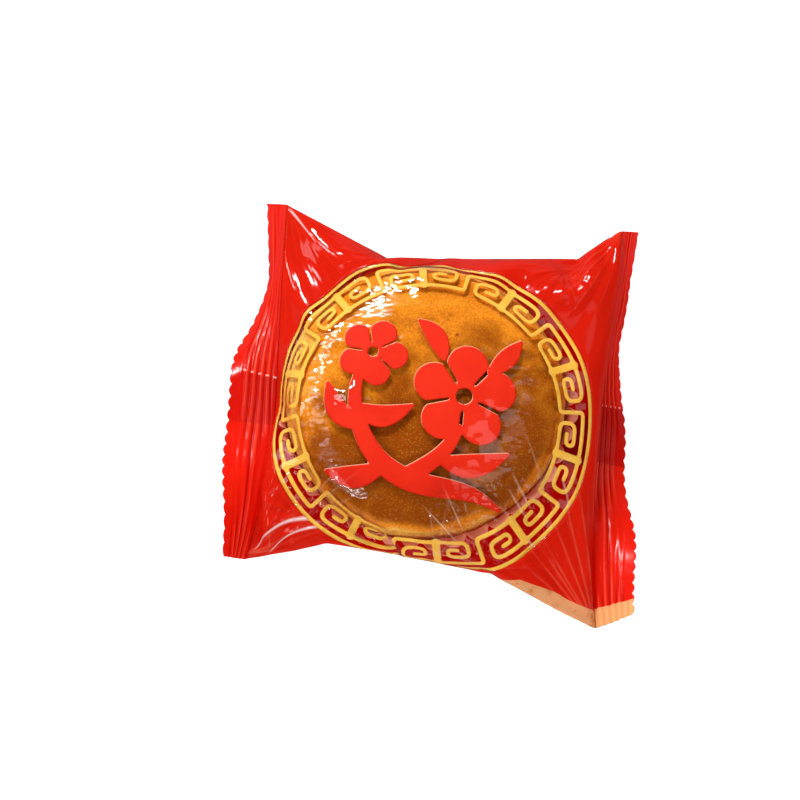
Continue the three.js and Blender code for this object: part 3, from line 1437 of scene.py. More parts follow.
            self.pull(turned, held, even, odd, rest_v[odd])
            p[:] = np.roll(turned, 1, axis=1)
            for first, second in rows:
                self.pull(p, free, first, second, step_u)
            for turn, rest in ((1, slant), (-1, np.roll(slant, 1, axis=1))):
                for first, second in rows:
                    self.pull(p, free, first, second, rest[first], self.shear, turn)
            bend_v = (np.roll(p, 1, 1) + np.roll(p, -1, 1)) * 0.5 - p
            bend_u = np.zeros_like(p)
            bend_u[1:-1] = (p[2:] + p[:-2]) * 0.5 - p[1:-1]
            even_v = bend_v - (np.roll(bend_v, 1, 1) + np.roll(bend_v, -1, 1)) * 0.5
            even_u = np.zeros_like(p)
            even_u[1:-1] = bend_u[1:-1] - (bend_u[2:] + bend_u[:-2]) * 0.5
            p += self.stiffness * (even_v + even_u) * free[..., None] * soft
            self.pastry.push_out(p)
            self.cup.push_out(p)
            self.sides.draw_out(p, front, back)
            self.sides.hold_in(p)
            np.maximum(p[..., 2], self.floor, out=p[..., 2])
            self.hold_ends()
            speed = np.clip(p - before, -1.0, 1.0)

    def drape(self) -> "FilmSurface":
        """Settles the film from rough to fine.

        Returns:
            The finished surface.
        """
        self.start()
        self.settle(self.rounds[0])
        for rounds in self.rounds[1:]:
            self.refine()
            self.settle(rounds)
        log.info("film settled: %d x %d cells, %.1f ml, top %.1f mm", *self.cells,
                 self.lift()[0] / 1000, self.points[..., 2].max())
        return FilmSurface(self)


@dataclass(frozen=True)
class CreaseFan:
    """Straight creases that spread over the film from one end of a seal."""

    side: Side
    at_back: bool
    reach: float
    depth: float
    creases: int
    seed: int

    def height(self, tube: FilmTube, along: Array, turn: Array, girth: Array) -> Array:
        """Finds how far the creases lift the film.

        Args:
            tube: the film.
            along: places as FilmSurface.at has them.
            turn: the same.
            girth: the flat width of one face there.

        Returns:
            The lift, in millimetres.
        """
        across = np.minimum(turn % 2, 2 - turn % 2) * girth
        dx = along if self.side is Side.LEFT else tube.length - along
        dy = girth - across if self.at_back else across
        out = np.hypot(dx, dy) / self.reach
        rng = np.random.default_rng(self.seed)
        stations = np.linspace(0, math.pi / 2, self.creases)
        stations[1:-1] += rng.uniform(-0.35, 0.35, self.creases - 2) * stations[1]
        heights = rng.uniform(0.0, 1.0, self.creases)
        heights[1::2] *= 0.3
        profile = np.interp(np.arctan2(dy, dx), stations, heights)
        return self.depth * profile * FADE_TO_ONE * out * np.clip(1 - out, 0, 1) ** 2


@dataclass(frozen=True)
class LongFold:
    """One long rounded fold on the film's upper side, from a seal's end to the window.

    Its line is in millimetres: from the left seal, and from the front or back crease.
    """

    at_back: bool
    line: tuple[Pair, ...]
    width: float
    depth: float

    def height(self, tube: FilmTube, along: Array, turn: Array, girth: Array) -> Array:
        """Finds how far the fold lifts the film.

        Args:
            tube: the film, not used here.
            along: places as FilmSurface.at has them.
            turn: the same.
            girth: the flat width of one face there.

        Returns:
            The lift, in millimetres.
        """
        across = (1 - turn if self.at_back else turn) * girth
        rows = Spline(np.array(self.line))(np.linspace(0, 1, 25))
        nearest, part = np.full(np.shape(along), np.inf), np.zeros(np.shape(along))
        for i, (start, end) in enumerate(zip(rows[:-1], rows[1:])):
            gap, share = to_segment(along, across, start, end)
            part = np.where(gap < nearest, (i + share) / (len(rows) - 1), part)
            nearest = np.minimum(nearest, gap)
        taper = smooth_step(part, 0.0, 0.25) * (1 - smooth_step(part, 0.75, 1.0))
        return self.depth * taper * np.exp(-((nearest / self.width) ** 2))


class FilmSurface:
    """The settled film, read smoothly at any place on the flat film."""

    folds: tuple[CreaseFan | LongFold, ...] = (
        CreaseFan(Side.RIGHT, False, 52.0, 0.90, 13, 3),
        CreaseFan(Side.LEFT, False, 40.0, 0.30, 9, 5),
        CreaseFan(Side.RIGHT, True, 44.0, 0.70, 8, 13),
        LongFold(True, ((1.0, 0.9), (3.5, 3.1), (7.6, 6.3), (11.8, 10.8), (17.4, 15.3),
                        (24.3, 21.2)), 1.5, 0.32),
        LongFold(False, ((0.7, 2.6), (3.5, 7.2), (8.3, 10.7), (12.5, 12.1), (17.0, 12.9)),
                 1.3, 0.48),
        LongFold(False, ((2.5, 2.2), (6.0, 5.4), (10.5, 8.0), (14.5, 9.8), (18.0, 12.0)),
                 1.2, 0.36),
    )

    def __init__(self, tube: FilmTube) -> None:
        """Keeps the tube's points and its flat measures."""
        self.tube = tube
        self.points = tube.points

    @staticmethod
    def weights(t: Array) -> tuple[Array, Array]:
        """Shares a place out among four neighbours.

        Args:
            t: how far it is from the second to the third.

        Returns:
            Their shares of the value, and of the slope.
        """
        value = np.stack([-t + 2 * t**2 - t**3, 2 - 5 * t**2 + 3 * t**3,
                          t + 4 * t**2 - 3 * t**3, -(t**2) + t**3], -1) / 2
        slope = np.stack([-1 + 4 * t - 3 * t**2, -10 * t + 9 * t**2,
                          1 + 8 * t - 9 * t**2, -2 * t + 3 * t**2], -1) / 2
        return value, slope

    def at(self, along: Array, turn: Array, raised: Array | float = 0.0) -> Array:
        """Finds places on the film.

        Args:
            along: millimetres from the left seal, on the flat film.
            turn: 0 at the front crease, 1 at the back, 2 at the front again underneath.
            raised: how far outside the film's outer face, in millimetres.

        Returns:
            One point for each place.
        """
        cells, across = self.tube.cells
        u = np.clip(np.asarray(along, float) / self.tube.length, 0, 1) * cells
        v = np.asarray(turn, float) * across
        i = np.minimum(u.astype(int), cells - 1)
        j = np.floor(v).astype(int)
        value_u, slope_u = self.weights(u - i)
        value_v, slope_v = self.weights(v - j)
        point = np.zeros(u.shape + (3,))
        along_u, along_v = np.zeros_like(point), np.zeros_like(point)
        for a in range(4):
            row = i + a - 1
            inner = np.clip(row, 0, cells)
            for b in range(4):
                column = (j + b - 1) % (2 * across)
                near = self.points[inner, column]
                over = self.points[np.clip(2 * inner - row, 0, cells), column]
                near = np.where((row == inner)[..., None], near, 2 * near - over)
                point += (value_u[..., a] * value_v[..., b])[..., None] * near
                along_u += (slope_u[..., a] * value_v[..., b])[..., None] * near
                along_v += (value_u[..., a] * slope_v[..., b])[..., None] * near
        normal = np.cross(along_u, along_v)
        normal /= np.linalg.norm(normal, axis=-1, keepdims=True) + 1e-12
        lift = np.asarray(raised, float)
        along, turn = np.asarray(along, float), np.asarray(turn, float)
        girth = self.tube.girth(np.clip(along / self.tube.length, 0, 1))
        for fold in self.folds:
            lift = lift + fold.height(self.tube, along, turn, girth)
        return point + normal * lift[..., None]


# ---- flat print shapes


class Headroom:
    """How high the film's upper side stands over each place."""

    half: int = 60
    samples: int = 500
    beside_film: float = 3.0

    def __init__(self, surface: FilmSurface) -> None:
        """Samples the film on cells of one millimetre, and keeps the lowest height in each.

        Args:
            surface: the film.
        """
        along, turn = np.meshgrid(np.linspace(0.0, surface.tube.length, self.samples),
                                  np.linspace(0.0, 1.0, self.samples))
        points = surface.at(along.ravel(), turn.ravel())
        cells = np.clip(np.floor(points[:, :2]).astype(int) + self.half, 0, 2 * self.half - 1)
        self.low = np.full((2 * self.half, 2 * self.half), np.inf)
        np.minimum.at(self.low, (cells[:, 0], cells[:, 1]), points[:, 2])
        self.low[np.isinf(self.low)] = self.beside_film

    def over(self, x: Array, y: Array) -> Array:
        """Finds the film's height, blended between the cells.

        Args:
            x: places.
            y: places.

        Returns:
            The height over each.
        """
        u, v = (np.clip(n + self.half - 0.5, 0, 2 * self.half - 1.001) for n in (x, y))
        i, j = u.astype(int), v.astype(int)
        p, q = u - i, v - j
        return ((1 - p) * ((1 - q) * self.low[i, j] + q * self.low[i, j + 1])
                + p * ((1 - q) * self.low[i + 1, j] + q * self.low[i + 1, j + 1]))


def to_segment(x: Array, y: Array, start: Array, end: Array) -> tuple[Array, Array]:
    """Measures from places to a straight line.

    Args:
        x: places.
        y: places.
        start: one end.
        end: the other end.

    Returns:
        Each place's distance, and its share along the line.
    """
    run = end - start
    share = np.clip(((x - start[0]) * run[0] + (y - start[1]) * run[1])
                    / (run @ run + 1e-12), 0, 1)
    return np.hypot(x - start[0] - share * run[0], y - start[1] - share * run[1]), share


def soft_least(first: Array, second: Array, size: float) -> Array:
    """Returns the smaller of two distances, with the corner between them filled in."""
    near = np.clip(size - np.abs(first - second), 0, None) / size
    return np.minimum(first, second) - near * near * size / 4


@dataclass(frozen=True)
class BrushStroke:
    """One stroke of a round brush: places on its path, and how wide it is at each."""

    path: tuple[Triple, ...]

    def distance(self, x: Array, y: Array) -> Array:
        """Measures to the stroke's outline.

        Args:
            x: places.
            y: places.

        Returns:
            The distance, below zero inside.
        """
        rows = Spline(np.array(self.path, float))(np.linspace(0, 1, 28))
        nearest = np.full(np.shape(x), 1e3)
        for start, end in zip(rows[:-1], rows[1:]):
            gap, share = to_segment(x, y, start[:2], end[:2])
            nearest = np.minimum(nearest, gap - start[2] - share * (end[2] - start[2]))
        return nearest


@dataclass
class MeanderBand:
    """The traditional gold border: a ring outside a band of square spirals."""

    ring: float = 44.4
    outer: float = 42.1
    inner: float = 35.4
    line: float = 1.1
    ring_line: float = 1.15
    bar: float = 2.1
    repeats: int = 10
    steps: int = 8
    start_turn: float = 27.5
    fillet: float = 0.5

    def lines(self) -> list[tuple[tuple[tuple[int, int], ...], float, float]]:
        """Returns one repeat's lines in steps round and outward, their widths and rounding."""
        return [
            (((0, 3), (4, 3), (4, 0), (8, 0)), self.line, 0.35),
            (((0, 0), (3, 0), (3, 2), (1, 2), (1, 1), (2, 1)), self.line, 0.75),
            (((8, 3), (5, 3), (5, 1), (7, 1), (7, 2), (6, 2)), self.line, 0.75),
            (((0, 0), (0, 3)), self.bar, 0.0),
        ]

    def rounded(self, corners: tuple[tuple[int, int], ...], cut: float) -> Array:
        """Rounds a line's corners.

        Args:
            corners: its corners in steps.
            cut: how much of a step each corner's curve takes.

        Returns:
            Its points, in millimetres.
        """
        stops = np.array(corners, float)
        rows = [stops[0]]
        for before, corner, after in zip(stops[:-2], stops[1:-1], stops[2:]):
            near = min(cut, 0.5 * np.abs(corner - before).sum(), 0.5 * np.abs(after - corner).sum())
            start = corner + (before - corner) / np.abs(before - corner).sum() * near
            end = corner + (after - corner) / np.abs(after - corner).sum() * near
            for t in np.linspace(0, 1, 5):
                rows.append((1 - t) ** 2 * start + 2 * t * (1 - t) * corner + t**2 * end)
        rows.append(stops[-1])
        fine = [rows[0]]
        for row in rows[1:]:
            pieces = max(1, math.ceil(abs(row[0] - fine[-1][0]) / 0.8))
            fine += [fine[-1] + (row - fine[-1]) * (k + 1) / pieces for k in range(pieces)]
        steps = np.array(fine)
        radius = self.inner + steps[:, 1] * (self.outer - self.inner) / 3
        angle = steps[:, 0] / self.steps * 2 * math.pi / self.repeats
        return np.stack([radius * np.cos(angle), radius * np.sin(angle)], -1)

    def distance(self, x: Array, y: Array) -> Array:
        """Measures to the band's outline.

        Args:
            x: places.
            y: places.

        Returns:
            The distance, below zero inside.
        """
        radius = np.hypot(x, y)
        period = 2 * math.pi / self.repeats
        turn = (np.arctan2(y, x) - math.radians(self.start_turn)) % period
        ring = np.abs(radius - self.ring) - self.ring_line / 2
        nearest = np.full(np.shape(x), 9.0)
        close = np.abs(radius - (self.inner + self.outer) / 2) < (self.outer - self.inner) / 2 + 2
        radius, turn = radius[close], turn[close]
        best = np.full(radius.shape, 9.0)
        for shift in (-1, 0, 1):
            place_x = radius * np.cos(turn + shift * period)
            place_y = radius * np.sin(turn + shift * period)
            for corners, width, cut in self.lines():
                rows = self.rounded(corners, cut)
                line = np.full(radius.shape, 9.0)
                for start, end in zip(rows[:-1], rows[1:]):
                    line = np.minimum(line, to_segment(place_x, place_y, start, end)[0])
                best = soft_least(best, line - width / 2, self.fillet)
        nearest[close] = best
        return np.minimum(nearest, ring)


@dataclass(frozen=True)
class Blossom:
    """A plain five-petalled blossom with an open eye."""

    middle: Pair
    reach: float
    petal: float
    eye: float
    turn: float = 90.0
    petals: int = 5

    def distance(self, x: Array, y: Array) -> Array:
        """Measures to the blossom's outline.

        Args:
            x: places.
            y: places.

        Returns:
            The distance, below zero inside.
        """
        dx, dy = x - self.middle[0], y - self.middle[1]
        nearest = np.full(np.shape(x), 1e3)
        for number in range(self.petals):
            angle = math.radians(self.turn + 360 * number / self.petals)
            tip = np.array([math.cos(angle), math.sin(angle)])
            gap, share = to_segment(dx, dy, tip * self.reach * 0.45, tip * self.reach)
            nearest = np.minimum(nearest, gap - self.petal * (0.42 + 0.58 * share))
        return np.maximum(nearest, self.eye - np.hypot(dx, dy))


@dataclass
class BlossomSprig:
    """A plain brush-drawn sprig in bloom: the pack's plant motif."""

    strokes: tuple[BrushStroke, ...] = (
        BrushStroke(((21.5, -23.0, 0.6), (12.0, -20.0, 2.1), (0.0, -19.5, 2.8), (-11.0, -15.0, 2.6),
                     (-18.0, -5.0, 2.1), (-19.5, 5.0, 1.5), (-17.0, 11.0, 1.1))),
        BrushStroke(((-4.0, -18.5, 2.4), (4.0, -11.5, 2.0), (8.0, -4.0, 1.4))),
        BrushStroke(((-17.5, -7.0, 0.9), (-23.5, -3.5, 2.8), (-27.0, 3.5, 0.5))),
        BrushStroke(((-19.0, -1.5, 0.8), (-12.0, -3.5, 2.9), (-4.5, 0.5, 0.5))),
        BrushStroke(((4.0, -12.5, 0.8), (12.5, -13.0, 3.1), (21.5, -8.5, 0.5))),
        BrushStroke(((-9.0, -16.0, 0.8), (-17.0, -20.0, 2.9), (-25.0, -19.5, 0.5))),
        BrushStroke(((2.0, 14.5, 0.8), (-0.5, 20.0, 2.7), (-5.5, 24.0, 0.5))),
        BrushStroke(((14.5, 12.5, 0.8), (18.5, 17.0, 2.5), (22.0, 22.5, 0.5))),
    )
    blossoms: tuple[Blossom, ...] = (
        Blossom((8.5, 5.0), 8.4, 5.4, 2.2),
        Blossom((-16.5, 13.5), 5.6, 3.7, 1.4, turn=70.0),
    )

    def distance(self, x: Array, y: Array) -> Array:
        """Returns the signed distance to the motif's outline."""
        shapes = [*self.strokes, *self.blossoms]
        return np.minimum.reduce([shape.distance(x, y) for shape in shapes])


# ---- the pack


@dataclass
class FilmPack:
    """The printed film pack: tube, clear window, prints, end fins and back seam."""

    film: FilmSurface
    print_along: float = 47.6
    print_turn: float = 0.4465
    window: float = 44.9
    film_wall: float = 0.05
    print_gap: float = 0.09
    print_wall: float = 0.02
    band: MeanderBand = field(default_factory=MeanderBand)
    motif: BlossomSprig = field(default_factory=BlossomSprig)
    # Offset of the pale ink towards the upper left, so that its rim shows there as a painted
    # highlight.
    edge_highlight_offset: Pair = (-0.12, 0.15)
    offset_pale_print_and_highlight_gap: float = 0.12
    margin: tuple[Pair, ...] = (
        (62.0, 0.0), (67.0, 5.0), (77.0, 8.8), (88.0, 7.4), (96.0, 5.6), (100.0, 4.6))
    # Each fan's white share, its eighth value or 0.18, paints a pale highlight along its fold
    # lines.
    fans: tuple[FilmFan, ...] = (
        FilmFan((100.0, 0.0), 128.0, 50.0, 56.0, 8.0, 0.18, 3.0, 0.40, 0.45),
        FilmFan((0.0, 0.0), 42.0, 60.0, 46.0, 8.0, 0.15, 11.0),
        FilmFan((-1.0, 1.0), 33.0, 15.0, 27.0, 7.0, 0.20, 5.3, 0.95, 0.60),
        FilmFan((0.0, 101.0), -48.0, 55.0, 50.0, 6.0, 0.05, 17.0, 0.08),
        FilmFan((100.0, 111.0), 232.0, 60.0, 46.0, 7.0, 0.15, 23.0),
        FilmFan((15.3, 12.7), 40.0, 170.0, 17.0, 2.4, 0.22, 31.0, 0.10),
        FilmFan((65.3, 9.0), 90.0, 120.0, 24.0, 3.0, 0.14, 37.0, 0.30),
        FilmFan((54.0, 8.0), 90.0, 70.0, 17.0, 4.0, 0.14, 41.0, 0.10),
        FilmFan((28.0, 89.0), 230.0, 170.0, 15.0, 2.4, 0.22, 43.0, 0.15),
        FilmFan((80.0, 97.0), 250.0, 170.0, 16.0, 3.0, 0.22, 47.0, 0.15),
    )
    # Painted highlights: near-white streaks along folds on the left-hand ears.
    arcs: tuple[FilmArc, ...] = (
        FilmArc((18.5, -6.5), 19.2, 118.0, 34.0, 0.85, 1.00),
        FilmArc((23.0, -11.0), 21.8, 116.0, 24.0, 0.60, 0.95),
        FilmArc((147.3, 235.3), 200.0, -135.4, 1.9, 0.60, 0.85),
    )

    def offset_pale_print_with_highlight(self, x: Array, y: Array) -> Array:
        """Returns the signed distance to the pale ink under the motif, printed a little off:
        misregistered print, whose rim on the upper left is also a painted highlight.
        """
        off_x, off_y = self.edge_highlight_offset
        return self.motif.distance(x - off_x, y - off_y)

    def on_film(self, flat: Array, raised: float) -> Array:
        """Finds points on the film.

        Args:
            flat: places measured from the print's middle.
            raised: how far outside the film.

        Returns:
            A point for each place.
        """
        along = self.print_along + flat[:, 0]
        girth = self.film.tube.girth(along / self.film.tube.length)
        return self.film.at(along, self.print_turn + flat[:, 1] / girth, raised)

    def lay_print(self, name: str, outline: Outline, reach: float, step: float,
                  raised: float, wall: float) -> Piece:
        """Cuts a flat shape and lays it on the film.

        Args:
            name: the piece's name.
            outline: the shape's signed distance.
            reach: half the side of the square that holds the shape.
            step: side of each cell.
            raised: height of its outer face over the film's outer face.
            wall: its thickness.

        Returns:
            The piece, in place.
        """
        cells = round(2 * reach / step)
        piece = flat_grid(name, (-reach, -reach), (reach, reach), (cells, cells))
        cut_out(piece, outline, step)
        flat = read_points(piece)[:, :2]
        keep_flat_map(piece, flat)
        shape_piece(piece, self.on_film(flat, raised))
        solid_wall(piece, wall)
        return piece

    def build_tube(self) -> Piece:
        """Makes the printed film, with its round window cut out.

        Returns:
            The piece.
        """
        along, across = self.film.tube.cells
        length = self.film.tube.length
        piece = flat_grid("printed_film", (0.0, 0.0), (length, 2.0), (along, 2 * across))
        points = read_points(piece)

        def outside(x: Array, y: Array) -> Array:
            """Returns the signed distance to the film round the window."""
            girth = self.film.tube.girth(x / length)
            return self.window - np.hypot(x - self.print_along, (y - self.print_turn) * girth)

        drop_faces(piece, outside)
        points = read_points(piece)
        rim = rim_points(piece)
        for _ in range(2):
            x, y = points[rim, 0], points[rim, 1]
            girth = self.film.tube.girth(x / length)
            dx, dy = x - self.print_along, (y - self.print_turn) * girth
            out = np.hypot(dx, dy)
            near = np.abs(out - self.window) < 1.2
            scale = np.where(near, self.window / out, 1.0)
            points[rim, 0] = self.print_along + dx * scale
            points[rim, 1] = self.print_turn + dy * scale / girth
        girth = self.film.tube.girth(points[:, 0] / length)
        from_crease = np.minimum(points[:, 1], 2 - points[:, 1]) * girth
        keep_flat_map(piece, np.stack([points[:, 0], from_crease], -1))
        placed = self.film.at(points[:, 0], points[:, 1])
        placed[:, 2] = np.maximum(placed[:, 2], self.film_wall)
        shape_piece(piece, placed)
        edit_all(piece, lambda: bpy.ops.mesh.remove_doubles(threshold=1e-6))
        solid_wall(piece, self.film_wall)
        return piece

    def build(self) -> None:
        """Builds and dresses the whole pack."""
        red = PrintedFilm()
        finish_piece(self.build_tube(), red.material(
            "printed_film_red", self.margin, self.fans, self.arcs), "printed_film")
        centre = self.print_turn * self.film.tube.girth(self.print_along / self.film.tube.length)
        fans = tuple(fan.moved(self.print_along, float(centre)) for fan in self.fans)
        finish_piece(
            self.lay_print("window_film", lambda x, y: np.hypot(x, y) - self.window,
                           self.window + 0.8, 0.65, 0.0, self.film_wall),
            ClearFilm().material("clear_window_film", fans), "clear_film")
        band_reach, motif_reach = self.window + 0.6, 30.0
        for name, outline, reach, step, gap, ink, finish, slot in (
            ("gold_band", self.band.distance, band_reach, 0.3, self.print_gap,
             GOLD_INK, "gold_ink", "gold_print"),
            ("red_motif", self.motif.distance, motif_reach, 0.4, self.print_gap,
             RED_INK, "red_ink", "red_print"),
            ("motif_underprint", self.offset_pale_print_with_highlight, motif_reach, 0.4, self.offset_pale_print_and_highlight_gap,
             PALE_PRINT_EDGE_HIGHLIGHT, "pale_ink", "red_print"),
        ):
            piece = self.lay_print(name, outline, reach, step, -gap, self.print_wall)
            finish_piece(piece, ink.material(finish), slot)
        left = FinPrint(seam=(37.5, 50.4), slant=(0.0, 2.4), bare_to=0.0, seam_tone=0.38)
        right = FinPrint(seam=(45.0, 60.5), slant=(1.0, 2.2), bare_to=5.0, seam_tone=0.60)
        EndFin(LEFT_SEAL, left).build(red)
        EndFin(RIGHT_SEAL, right).build(red)
        BackSeam(self.film).build(red)


@dataclass
class EndFin:
    """One crimped end seal: two films pressed together, ridged, with a serrated edge."""

    seal: SealLine
    look: FinPrint
    width: float = 12.9
    thickness: float = 0.30
    ridge: float = 0.26
    flat_rim: float = 3.4
    tooth_pitch: float = 3.42
    tooth_depth: float = 0.8
    cut_zone: float = 2.5
    step: float = 0.34
    across: int = 52
    wander: Lumps = Lumps((16.0, 6.0, 9.0), 0.22, 14)
    long_slack: Lumps = Lumps((9.0, 5.0, 9.0), 0.35, 11)
    short_slack: Lumps = Lumps((3.0, 7.0, 3.0), 0.12, 12)
    wear: Lumps = Lumps((22.0, 2.6, 9.0), 1.0, 13)
    least_crimp: float = 0.25

    def build(self, film: PrintedFilm) -> None:
        """Builds and dresses the fin.

        Args:
            film: the film's finish.
        """
        name = self.seal.side.name.lower() + "_end_seal"
        length = self.seal.length
        cells = round(length / self.step)
        piece = flat_grid(name, (0.0, 0.0), (length, 1.0), (cells, self.across))
        flat = read_points(piece)
        share = flat[:, 0] / length
        phase = flat[:, 0] / self.tooth_pitch
        tooth = 1 - np.abs(np.sin(np.pi * phase)) ** 0.8
        edge = self.width - self.tooth_depth * tooth
        reach = flat[:, 1] * self.width
        cut, root = self.cut_zone, self.width - self.cut_zone
        reach = np.where(reach > root, root + (reach - self.width + cut)
                         * (edge - self.width + cut) / cut, reach)
        out, normal = self.seal.directions(share)
        points3 = np.stack([flat[:, 0], reach, np.full(len(flat), float(self.seal.side.value))], -1)
        ridges = np.cos(2 * np.pi * (reach / self.look.ridge_pitch + self.wander.at(points3)))
        rim = self.width - self.flat_rim
        fade = smooth_step(reach, 0.2, 1.4) * (1 - smooth_step(reach, rim, rim + 1))
        slack = self.long_slack.at(points3) + self.short_slack.at(points3)
        slack *= smooth_step(reach, 0.0, 5.0)
        # Uneven crimp depth along the seal, from wear.
        wear_and_crease_highlight = self.least_crimp + (1 - self.least_crimp) * smooth_step(
            self.wear.at(points3), -0.4, 0.5)
        crimp = ridges * fade * wear_and_crease_highlight
        height = self.ridge * crimp + slack
        points = self.seal.at(share) + out * reach[:, None] + normal * height[:, None]
        points[:, 2] = np.maximum(points[:, 2], self.thickness / 2)
        keep_flat_map(piece, np.stack([flat[:, 0], reach], -1))
        shape_piece(piece, points)
        # The finish reads this crimp to paint shade in its grooves and a highlight on its crests.
        keep_layer(piece, "crimp", crimp)
        if self.seal.side is Side.RIGHT:
            edit_all(piece, bpy.ops.mesh.flip_normals)
        solid_wall(piece, self.thickness, 0.0)
        material = film.material(name + "_red", fin=self.look, roughness=0.20)
        finish_piece(piece, material, "printed_film")


@dataclass
class BackSeam:
    """The long seam under the pack, where the film's two edges meet and lie folded flat."""

    film: FilmSurface
    width: float = 14.5
    left_middle: float = 0.9
    right_middle: float = -1.4
    lift: float = 0.28
    thickness: float = 0.18

    def build(self, film: PrintedFilm) -> None:
        """Builds and dresses the seam.

        Args:
            film: the film's finish.
        """
        length = self.film.tube.length
        piece = flat_grid("back_seam", (0.0, -0.5), (length, 0.5), (200, 30))
        flat = read_points(piece)
        share = flat[:, 0] / length
        turns = []
        for seal, middle in ((LEFT_SEAL, self.left_middle), (RIGHT_SEAL, self.right_middle)):
            table = np.linspace(0, 1, 400)
            turns.append(2 - float(np.interp(middle, seal.at(table)[:, 1], table)))
        girth = self.film.tube.girth(share)
        turn = turns[0] + (turns[1] - turns[0]) * share + flat[:, 1] * self.width / girth
        ridge = 0.05 * np.cos(2 * np.pi * flat[:, 1] * self.width / 1.6)
        points = self.film.at(flat[:, 0], turn, self.lift + ridge)
        keep_flat_map(piece, np.stack([flat[:, 0], flat[:, 1] * self.width + 20], -1))
        shape_piece(piece, points)
        solid_wall(piece, self.thickness, -1.0)
        finish_piece(piece, film.material("back_seam_red"), "printed_film")


# ---- the contents


@dataclass
class Pastry:
    """The pastry out of the oven: a glazed, wrinkled dome."""

    form: PastryForm
    headroom: Headroom
    under_film: float = 1.3
    broad: Lumps = Lumps(14.0, 0.35, 21)
    middling: Lumps = Lumps(5.0, 0.11, 22)
    small: Lumps = Lumps((3.0, 2.2, 2.4), 0.06, 23)
    wrinkle: Lumps = Lumps((7.0, 2.2, 5.0), 1.0, 24)
    wrinkled: Lumps = Lumps(12.0, 1.0, 25)
    wrinkle_depth: float = 0.42
    side_broad: Lumps = Lumps(6.0, 0.4, 26)
    side_fine: Lumps = Lumps(2.4, 0.15, 27)
    sunk: float = 0.2
    uneven_browning_and_shade: Lumps = Lumps(7.0, 1.0, 28)
    film_gap: float = 0.8

    def build(self) -> None:
        """Builds and dresses the pastry."""
        deselect_all()
        bpy.ops.mesh.primitive_ico_sphere_add(subdivisions=7, radius=1.0)
        piece = bpy.context.object
        piece.name = piece.data.name = "pastry"
        ray = read_points(piece)
        ray /= np.linalg.norm(ray, axis=1, keepdims=True)
        form = self.form
        upper = ray[:, 2] >= 0
        power = np.where(upper, form.upper_power, form.lower_power)
        out = np.hypot(ray[:, 0], ray[:, 1])
        scale = (out**power + np.abs(ray[:, 2]) ** power) ** (-1 / power)
        wide = form.reach(np.arctan2(ray[:, 1], ray[:, 0]))
        tall = np.where(upper, form.top - self.under_film - form.waist, form.waist - form.foot)
        local = np.stack([ray[:, 0] * scale * wide, ray[:, 1] * scale * wide,
                          ray[:, 2] * scale * tall], -1)
        away = np.stack([ray[:, 0] / wide, ray[:, 1] / wide, ray[:, 2] / tall], -1)
        away /= np.linalg.norm(away, axis=1, keepdims=True)
        on_top = smooth_step(local[:, 2], -2.0, 8.0)
        cos, sin = math.cos(WRINKLES_RUN), math.sin(WRINKLES_RUN)
        turned = local.copy()
        turned[:, 0] = local[:, 0] * cos + local[:, 1] * sin
        turned[:, 1] = local[:, 1] * cos - local[:, 0] * sin
        wrinkles = (1 - np.abs(self.wrinkle.at(turned))) ** 5
        wrinkles *= smooth_step(self.wrinkled.at(local), 0.20, 0.60)
        height = on_top * (self.broad.at(local) + self.middling.at(local) + self.small.at(turned)
                           - self.wrinkle_depth * wrinkles - self.sunk)
        height += (1 - on_top) * (
            self.side_broad.at(local) + self.side_fine.at(local) - self.sunk)
        local += away * height[:, None]
        local[:, 2] = np.maximum(local[:, 2], form.foot - form.waist + 0.3)
        toward_front = local @ np.array([0.35, -0.94, 0.0])
        local += (form.x, form.y, form.waist)
        limit = self.headroom.over(local[:, 0], local[:, 1]) - self.film_gap
        local[:, 2] = soft_least(local[:, 2], limit, 0.8)
        shape_piece(piece, local)
        # Paler low on the sides, which bake less; darker towards the front, away from the key
        # light, which is painted shade.
        uneven = self.uneven_browning_and_shade.at(local)
        front = smooth_step(toward_front + 5 * uneven, -18.0, 12.0)
        baked = smooth_step(local[:, 2] + 1.5 * uneven + 2.6 * front, 15.5, 22.0)
        baked *= 0.55 + 0.45 * front
        keep_layer(piece, "baked", baked)
        finish_piece(piece, GlazedCrust().material("glazed_crust"), "pastry_crust")


